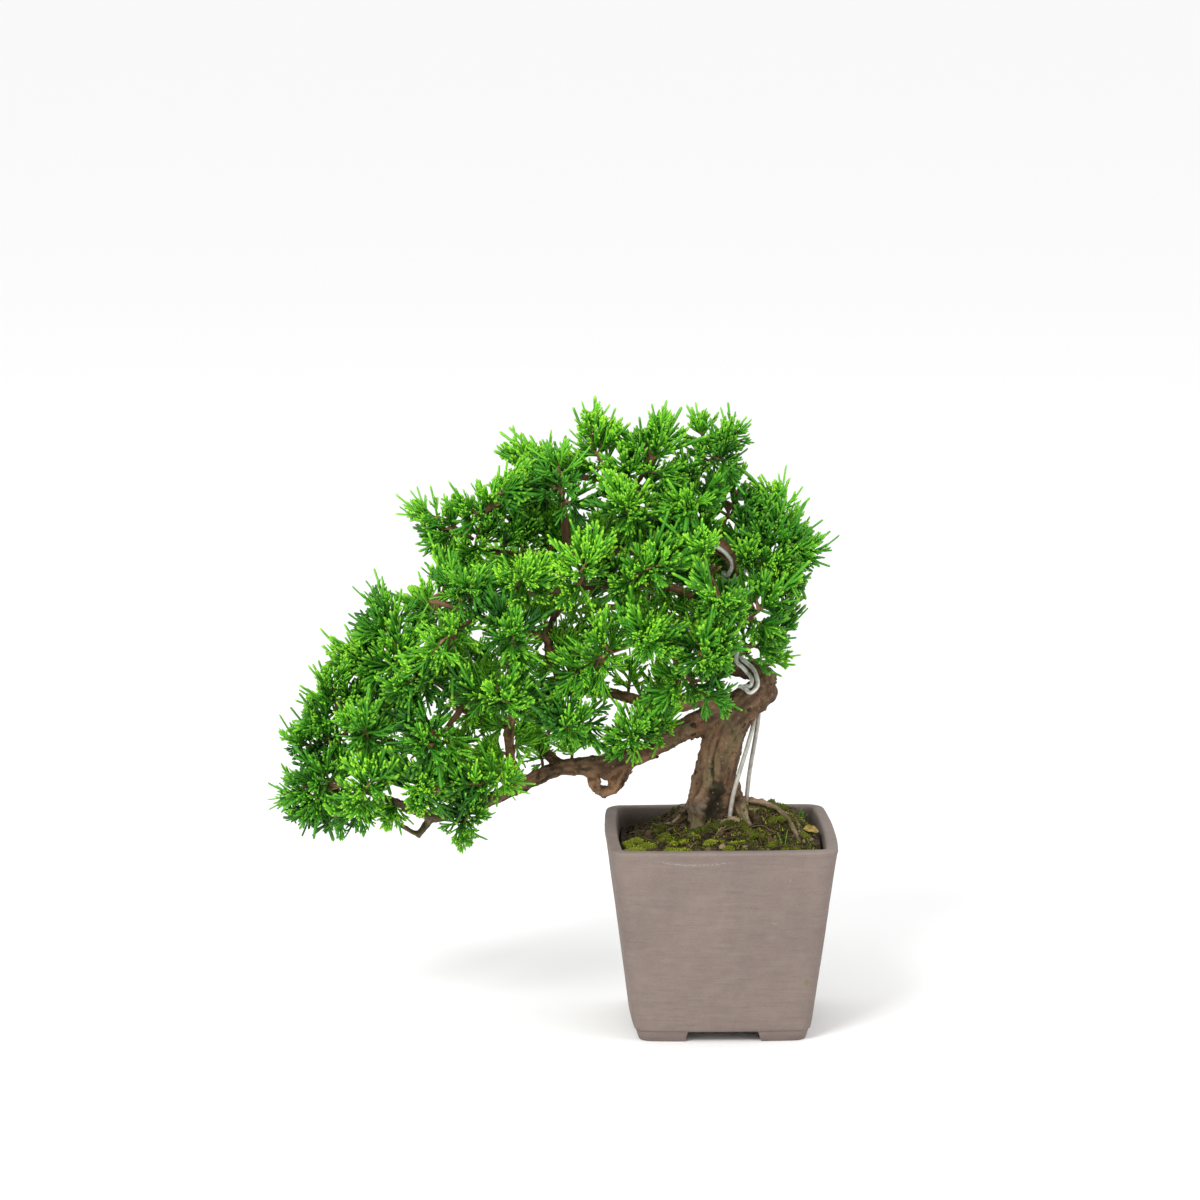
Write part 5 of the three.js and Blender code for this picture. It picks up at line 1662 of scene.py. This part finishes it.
# %% Soil and moss finishes
earth, tree, shader = new_material("potting_mix", 0.95, specular=0.15)
places = object_places(tree)
wide, small, relief = mottle(tree, places, 330)
colour = blend(tree, wide, (0.012, 0.008, 0.005, 1), (0.085, 0.054, 0.029, 1))
mossy = maths(tree, "MULTIPLY", stored(tree, "moss"), between(tree, small, 0.2, 0.9))
colour = tint(tree, colour, (0.085, 0.085, 0.012, 1), mossy, 0.55)
grit = specks(tree, places, 800, 0.18)
colour = tint(tree, colour, (0.26, 0.18, 0.10, 1), grit, 0.7)
# Painted shade in the soil's hollows.
colour = tint(tree, colour, (0.008, 0.006, 0.004, 1), stored(tree, "hollow"), 0.7)
coat(tree, shader, colour, small, (0.85, 1.0))
raise_surface(tree, shader, maths(tree, "ADD", relief, grit), 0.5 * MM, 1.0)
finish_piece(soil, "soil_bed", earth, ["soil"])
soil_tree = BVHTree.FromObject(soil, bpy.context.evaluated_depsgraph_get())


def on_soil(x, y):
    """The place on the soil at x and y, in millimetres from the pot's middle, and the normal there."""
    found = soil_tree.ray_cast(place(x, y, 130), Vector((0, 0, -1)))
    return (np.array(found[0]), np.array(found[1])) if found[0] else (None, None)


moss, tree, shader = new_material("moss", 0.8, specular=0.2)
places = object_places(tree)
wide, small, relief = mottle(tree, places, 380)
tone = stored(tree, "tone")
colour = blend(tree, between(tree, tone, 0, 0.5), (0.024, 0.022, 0.007, 1), (0.125, 0.145, 0.010, 1))
colour = blend(tree, between(tree, tone, 0.5, 1), colour, (0.56, 0.64, 0.030, 1))
colour = tint(tree, colour, (0.07, 0.13, 0.012, 1), wide, 0.35)
coat(tree, shader, colour, small, (0.7, 0.95))
raise_surface(tree, shader, relief, 0.3 * MM, 0.8)

crumb, tree, shader = new_material("crumb", 0.9, specular=0.15)
places = object_places(tree)
wide, small, relief = mottle(tree, places, 500)
tone = stored(tree, "tone")
colour = blend(tree, between(tree, tone, 0, 0.7), (0.018, 0.012, 0.008, 1), (0.095, 0.058, 0.032, 1))
colour = blend(tree, between(tree, tone, 0.75, 1), colour, (0.30, 0.21, 0.12, 1))
colour = tint(tree, colour, (0.04, 0.045, 0.012, 1), wide, 0.35)
coat(tree, shader, colour, small, (0.8, 1.0))
raise_surface(tree, shader, relief, 0.25 * MM, 0.9)
print("moss and crumb finishes ready")

# %% [markdown]
# Crumbs are lumps of four shapes, from round to flaky. Each is a small icosphere, knocked out of round and
# squashed. The large ones have 80 faces and the dust 20, as they are repeated by the hundred.

# %% Model the crumbs
CRUMB_SHAPES = [(2, 1.0), (2, 0.55), (1, 0.8), (1, 0.3)]
crumb_patterns = []
for number, (fineness, flatness) in enumerate(CRUMB_SHAPES):
    clear_selection()
    bpy.ops.mesh.primitive_ico_sphere_add(subdivisions=fineness, radius=1)
    model = bpy.context.active_object
    edit(model, lambda: bpy.ops.transform.resize(value=(1, 0.75, flatness), center_override=(0, 0, 0)))
    places = corners_of(model)
    set_corners(model, places * (1 + 0.35 * lumps(places, 0.8, 30 + number))[:, None])
    crumb_patterns.append(pattern_of(model))
print("crumb shapes:", len(crumb_patterns))

# %% [markdown]
# The flattest crumb also serves as a bark scale: old bark lifts in thin dark plates, which lie along the limb
# and break its smooth outline. A few large ones stand where they show most.

# %% Lay bark scales
SCALES = 520
SCALE_PLACES = [
    (-12.5, -4, 139), (-13, -5, 137), (-14, -5, 118), (-18.5, -4, 103.5), (-29, -9, 125), (12.5, -5, 147),
]
SCALE_LIFT = 0.12
draw = np.random.default_rng(35)
rough_bark = np.flatnonzero((girths > 2.2) & (measured[:, 2] > 99))
by_hand = [int(away_from(spot, measured).argmin()) for spot in SCALE_PLACES]
jobs = []
for i in by_hand + list(draw.choice(rough_bark, SCALES, replace=False)):
    big = i in by_hand
    normal = bark_normals[i] + draw.normal(0, 0.22, 3)
    normal /= np.linalg.norm(normal)
    along = np.cross(np.cross(normal, limb_axes[i] + draw.normal(0, 0.3, 3)), normal)
    along /= np.linalg.norm(along)
    turned_frame = np.stack([along, np.cross(normal, along), normal], axis=1)
    size = 1.7 if big else draw.uniform(0.5, 1.35) * min(1, 0.35 + girths[i] / 9)
    placed = bark_now[i] + crumb_patterns[3]["places"] * (size * MM) @ turned_frame.T
    placed += normal * SCALE_LIFT * size * MM
    strip = draw.uniform(0.1, 1.0)
    dark = 0.75 if big else draw.uniform(0, 0.6)
    jobs.append((crumb_patterns[3], placed, {"strip": strip, "girth": girths[i], "dark": dark}))
bark_scales = copies("bark_scales", jobs)
finish_piece(bark_scales, "bark_scales", bark)

# %% [markdown]
# Crumbs are strewn at random on the soil, the large ones first and then the dust. Each is sunk in by nearly
# half, leaned a little from the soil's normal and turned any way. No crumb's middle lies inside the wood.

# %% Strew crumbs
LARGE_CRUMBS = 230
SMALL_CRUMBS = 750
CRUMB_LIFT = 0.15


def free_spot(draw, margin=1.5):
    """A random place on the soil that isn't inside the wood."""
    while True:
        x, y = draw.uniform(-SOIL_HALF + margin, SOIL_HALF - margin, 2)
        spot, normal = on_soil(x, y)
        if spot is not None and wood_tree.find_nearest(Vector(spot))[3] > 0.8 * MM:
            return spot, normal


def leaning_frame(normal, scatter):
    """A frame near the normal, leaned away at random by the scatter and turned any way."""
    way = normal + draw.normal(0, scatter, 3)
    return frames_along((way / np.linalg.norm(way))[None], draw.uniform(0, 6, 1))[0]


draw = np.random.default_rng(40)
jobs = []
for number in range(LARGE_CRUMBS + SMALL_CRUMBS):
    large = number < LARGE_CRUMBS
    pattern = crumb_patterns[draw.integers(2) + (0 if large else 2)]
    radius = draw.uniform(0.8, 2.1) if large else draw.uniform(0.3, 0.8)
    spot, normal = free_spot(draw)
    placed = spot + pattern["places"] * radius * MM @ leaning_frame(normal, 0.35).T
    placed += normal * CRUMB_LIFT * radius * MM
    jobs.append((pattern, placed, {"tone": draw.uniform(0, 1) ** 1.6}))
crumbs = copies("soil_crumbs", jobs)
finish_piece(crumbs, "soil_crumbs", crumb)

# %% [markdown]
# Moss grows in soft cushions along the rim, where water stands, and as a thin fuzz between them. A cushion is
# a few flattened icospheres, pushed out of round, with a small leaf on every upper corner. The same leaf, a
# three-sided cone, is strewn over the soil wherever the soil's own moss pattern is dense. In the list each
# cushion has its place, its reach and height in millimetres, and how bright it is.

# %% Moss cushions
CUSHIONS = [
    (-40.5, -10, 4.2, 2.6, 0.85), (-32.5, -23, 5.2, 2.8, 0.95), (-26.5, -15.5, 3.6, 2.6, 0.6),
    (-22, -22, 2.2, 1.8, 0.8), (-17.5, -22, 2.0, 1.6, 0.75), (-12.5, -18, 2.4, 2.0, 0.8),
    (-4.7, -26.5, 3.6, 2.2, 0.95), (6.7, -27, 3.0, 1.8, 0.9), (15, -21.5, 4.2, 2.8, 0.55),
    (23, -27, 3.2, 2.0, 0.6), (-37, -33, 5.5, 2.4, 0.85), (-20, -36, 5, 2.2, 0.8), (3, -37, 4.6, 2.0, 0.75),
    (30, -36, 4, 2, 0.6), (36, 22, 3.4, 2.0, 0.5), (-20, 37, 5, 2.2, 0.35), (-13.5, -15.5, 2.8, 3.0, 0.3),
    (-9, -15, 3.0, 2.6, 0.4), (14, 38, 4.4, 2.2, 0.5), (38, -12, 3, 1.8, 0.65), (20, 8, 6, 3.6, 0.45),
    (14, 6, 5, 2.6, 0.5), (-3, -13, 3, 2, 0.35), (2.5, -12.5, 2.6, 2.2, 0.3), (26, -4, 4, 2.4, 0.5),
    (-27, 2, 4, 2.4, 0.4), (10, -13, 3, 1.8, 0.45), (28, 11, 5, 3.6, 0.55),
]
LOBES = 4
LEAFLET = 1.0
LEAFLET_RADIUS = 0.2
clear_selection()
middle = (0, 0, LEAFLET / 2)
bpy.ops.mesh.primitive_cone_add(vertices=3, radius1=LEAFLET_RADIUS, radius2=0, depth=LEAFLET, location=middle)
bpy.ops.object.transform_apply(location=True, rotation=True, scale=True)
leaflet = pattern_of(bpy.context.active_object)
clear_selection()
bpy.ops.mesh.primitive_ico_sphere_add(subdivisions=3, radius=1)
dome_normals = normals_of(bpy.context.active_object)
dome = pattern_of(bpy.context.active_object)
upper = np.flatnonzero(dome_normals[:, 2] > 0.02)


def leaflet_on(spot, normal, scatter, length):
    """A moss leaf's corners on a spot, near its normal."""
    return spot + leaflet["places"] * length * MM @ leaning_frame(normal, scatter).T


draw = np.random.default_rng(50)
jobs = []
for x, y, reach, high, tone in CUSHIONS:
    for lobe in range(LOBES):
        size = draw.uniform(0.45, 0.8)
        spot, _ = on_soil(x + draw.normal(0, 0.42) * reach, y + draw.normal(0, 0.35) * reach)
        if spot is None:
            continue
        places = dome["places"] * (1 + 0.4 * lumps(dome["places"] + lobe + x, 0.6, 60))[:, None]
        places = places * (reach * size, reach * size * draw.uniform(0.7, 1), high * size) * MM
        placed = spot + places
        jobs.append((dome, placed, {"tone": tone * draw.uniform(0.4, 0.75)}))
        for i in upper:
            leaf_tone = np.clip(tone + draw.uniform(-0.3, 0.2), 0, 1)
            leaf_places = leaflet_on(placed[i], dome_normals[i], 0.4, draw.uniform(0.6, 1.2))
            jobs.append((leaflet, leaf_places, {"tone": leaf_tone}))
cushions = copies("moss_cushions", jobs)
finish_piece(cushions, "moss_cushions", moss)

# %% [markdown]
# Loose leaves are strewn one by one. A random number against the moss pattern decides which places keep one,
# so that they thin out where the soil is bare.

# %% Moss fuzz
FUZZ = 4200
jobs = []
while len(jobs) < FUZZ:
    spot, normal = free_spot(draw, 1.0)
    if draw.uniform(-0.6, 0.4) > float(moss_pattern(spot)):
        continue
    leaf_places = leaflet_on(spot, normal, 0.6, draw.uniform(0.9, 2.2))
    patch = 0.3 + 0.5 * float(lumps(spot, 5 * MM, 26))
    jobs.append((leaflet, leaf_places, {"tone": float(np.clip(patch + draw.normal(0, 0.25), 0, 1))}))
fuzz = copies("moss_fuzz", jobs)
finish_piece(fuzz, "moss_fuzz", moss)

# %% [markdown]
# Thin roots surface round the trunk and dive again. The thick ones are in the frame. The finer ones lie on
# the soil here, each a curve through a few chosen places, made round and turned into a mesh. Its two radii
# are at its start and its end, and the last number is how high it arches.

# %% Surface roots
ROOTS = [
    ([(6.5, 2), (4.5, -1), (2.6, -3.5), (0.8, -6), (-0.4, -8.5)], (1.9, 1.5), 1.0),
    ([(-2, -14.5), (-0.2, -12.8), (2, -11.2), (4.5, -9.8), (8, -8.8), (11, -8)], (1.0, 1.5), 1.5),
    ([(5, -8), (7, -7.5), (9, -6), (10.8, -4.4), (12.4, -2.5)], (1.5, 1.0), 0.6),
    ([(13, -0.5), (18.5, 4.5), (24.5, 7), (29, 8), (32.7, 4.5), (35.7, -1), (36.5, -9), (35, -21)],
     (1.0, 0.7), 0.7),
    ([(30, 7.5), (33.8, 1), (36.4, -4), (39, -9), (40, -19)], (0.6, 0.4), 0.5),
    ([(2.6, -10), (0.6, -13.5), (-1.2, -17), (-3.4, -21.5), (-5.5, -26)], (0.55, 0.4), 1.1),
    ([(17.2, -19.5), (19.5, -18), (21.2, -16), (24.5, -12), (29.4, -7.5)], (0.4, 0.3), 0.5),
    ([(-10.6, -13.5), (-9.8, -12), (-8.6, -10.5), (-6.8, -10), (-4.7, -10)], (0.6, 0.4), 0.5),
    ([(-28, 34), (-24, 30), (-20, 26), (-16, 20), (-12, 14)], (0.9, 1.3), 0.6),
    ([(-30, 14), (-27, 9), (-24, 4), (-21, -1.5), (-18, 4)], (0.6, 0.9), 0.5),
    ([(12.4, -0.5), (15.8, 2), (18.2, -1), (19.4, -3.5), (20.5, -7)], (0.7, 0.4), 0.5),
    ([(30.5, -21), (32, -16.5), (33, -12.5), (34.6, -9.5), (36, -7)], (0.5, 0.35), 0.4),
]
roots = []
for points, (first, last), lift in ROOTS:
    clear_selection()
    bpy.ops.curve.primitive_nurbs_path_add()
    piece = bpy.context.active_object
    spline = piece.data.splines[0]
    if len(points) > len(spline.points):
        spline.points.add(len(points) - len(spline.points))
    for i, (x, y) in enumerate(points):
        spot, _ = on_soil(x, y)
        height = lift * math.sin(math.pi * i / (len(points) - 1)) - 0.4
        spline.points[i].co = (*(spot + (0, 0, height * MM)), 1)
        spline.points[i].radius = first + (last - first) * i / (len(points) - 1)
    spline.use_endpoint_u = True
    spline.order_u = 4
    spline.resolution_u = 5
    make_round(piece, MM, 2)
    roots.append(piece)
roots = join(roots, "surface_roots")
places = corners_of(roots)
knobbly = 0.3 * lumps(places, 1.6 * MM, 70) + 0.2 * lumps(places, 0.8 * MM, 71)
places += normals_of(roots) * knobbly[:, None] * MM
set_corners(roots, places)
set_values(roots, "strip", 0.75 + 0.35 * lumps(places, 1.4 * MM, 72))
set_values(roots, "girth", np.full(len(places), 1.5))
smooth(roots)
finish_piece(roots, "surface_roots", bark)

# %% [markdown]
# Fine fibres and dead stalks, three-sided and slightly arched, are strewn at random among the moss.

# %% Soil fibres
FIBRES = 300
fibre_model = pattern_of(cord(MODEL_LENGTH, 1.0, 4))
jobs = []
for _ in range(FIBRES):
    spot, normal = free_spot(draw, 7)
    turn = draw.uniform(0, 2 * math.pi)
    way = np.array([math.cos(turn), math.sin(turn), draw.normal(0, 0.12)])
    length = draw.uniform(4, 13)
    thickness = draw.uniform(0.14, 0.42)
    thin_model = {**fibre_model, "places": fibre_model["places"] * (thickness, thickness, 1)}
    rise = normal * draw.uniform(0.4, 2.2) * MM + np.cross(way, normal) * draw.normal(0, 0.15) * length * MM
    placed = arched(thin_model, spot - way * length / 2 * MM, spot + way * length / 2 * MM, rise)
    jobs.append((thin_model, placed, {"tone": draw.uniform(0.55, 1)}))
fibres = copies("soil_fibres", jobs)
finish_piece(fibres, "soil_fibres", crumb)

# %% [markdown]
# Three small things lie or grow on the soil at the right: a dry brown leaf by the wall, two green blades of
# grass in front, and a tuft of young blades in the back corner. The leaf is a flattened icosphere, crumpled
# and curled up along its length. It could be a bent sheet, but the sphere has its rounded rim already.

# %% Dry leaf
dry_leaf, tree, shader = new_material("dry_leaf", 0.6, specular=0.3)
places = object_places(tree)
wide, small, relief = mottle(tree, places, 260)
colour = blend(tree, wide, (0.17, 0.10, 0.025, 1), (0.44, 0.32, 0.075, 1))
rot = specks(tree, places, 500, 0.3)
colour = tint(tree, colour, (0.14, 0.08, 0.03, 1), rot, 0.7)
coat(tree, shader, colour, small, (0.5, 0.8))
raise_surface(tree, shader, relief, 0.2 * MM, 0.6)
LEAF_SPOT = (41.5, -7)
LEAF_HALF = (3.9, 2.5, 0.3)
clear_selection()
bpy.ops.mesh.primitive_ico_sphere_add(subdivisions=4, radius=1)
fallen = bpy.context.active_object
places = corners_of(fallen) * LEAF_HALF
places[:, 1] *= 1 - 0.3 * (places[:, 0] / LEAF_HALF[0])
places[:, 2] += 0.26 * places[:, 1] ** 2 + 0.05 * places[:, 0] ** 2 + 0.8 * lumps(places, 1.7, 80)
lean = np.array(Matrix.Rotation(math.radians(24), 3, "X") @ Matrix.Rotation(math.radians(-35), 3, "Z"))
spot, _ = on_soil(*LEAF_SPOT)
set_corners(fallen, spot + (places @ lean.T + (0, 0, 1.6)) * MM)
smooth(fallen)
finish_piece(fallen, "fallen_leaf", dry_leaf)

# %% [markdown]
# The blades are cords pressed flat, each arched from its foot to its end.

# %% Green blades
BLADES = [
    ((28, -30), (1.5, 2, 7.5)), ((27, -29), (-2, 1, 5)), ((38, 32), (2, -1, 7)), ((39, 31), (3.5, -3, 5)),
    ((37, 32), (-3, -2, 6.5)), ((40, 33), (0, -4, 6)),
]
BLADE_SECTION = (0.75, 0.16, 1)
BLADE_RISE = np.array((0, 0, 0.8)) * MM
BLADE_ROOT = (0, 0, 0.5 * MM)
blade_model = pattern_of(cord(MODEL_LENGTH, 1.0, 4, sides=4))
blade_model["places"] *= BLADE_SECTION
jobs = []
for (x, y), reach in BLADES:
    foot, _ = on_soil(x, y)
    placed = arched(blade_model, foot - BLADE_ROOT, foot + np.array(reach) * MM, BLADE_RISE)
    jobs.append((blade_model, placed, {"from_tip": np.full(len(placed), 9.0), "tone": 0.85, "fresh": 0.0}))
blades = copies("green_blades", jobs)
finish_piece(blades, "green_blades", leaf)

# %% [markdown]
# ## Floor, light and world
# The object stands on a plain pale floor that reaches past the edge of the picture. A large soft light from
# the front left shapes it, a weaker one fills in from the right, and an even white world does the rest. The
# standard view keeps the colours as they are mixed.

# %% Floor, light and world
clear_selection()
bpy.ops.mesh.primitive_circle_add(vertices=128, radius=40, fill_type="NGON")
floor = bpy.context.active_object
floor.name = "floor"
floor_finish, tree, shader = new_material("floor_paper", 0.9, specular=0.1)
shader.inputs["Base Color"].default_value = (0.93, 0.93, 0.93, 1)
floor.data.materials.append(floor_finish)
floor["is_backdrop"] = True


def soft_light(name, power, size, spot, aim):
    data = bpy.data.lights.new(name, "AREA")
    data.energy = power
    data.size = size
    light = bpy.data.objects.new(name, data)
    light.location = spot
    light.rotation_euler = (Vector(aim) - Vector(spot)).to_track_quat("-Z", "Y").to_euler()
    bpy.context.scene.collection.objects.link(light)


LIT = place(-20, 0, 140)
soft_light("key", 30, 0.7, place(-900, -1500, 1500), LIT)
soft_light("fill", 6, 1.2, place(1400, -1100, 900), LIT)
world = bpy.data.worlds.new("studio")
bpy.context.scene.world = world
world.use_nodes = True
background = world.node_tree.nodes["Background"]
background.inputs["Color"].default_value = (1, 1, 1, 1)
background.inputs["Strength"].default_value = 1.02
bpy.context.scene.view_settings.view_transform = "Standard"

# %% Size and finish
size = {"frame": [list(corner) for corner in FRAME_BOX], "dressed": [list(corner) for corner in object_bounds()]}
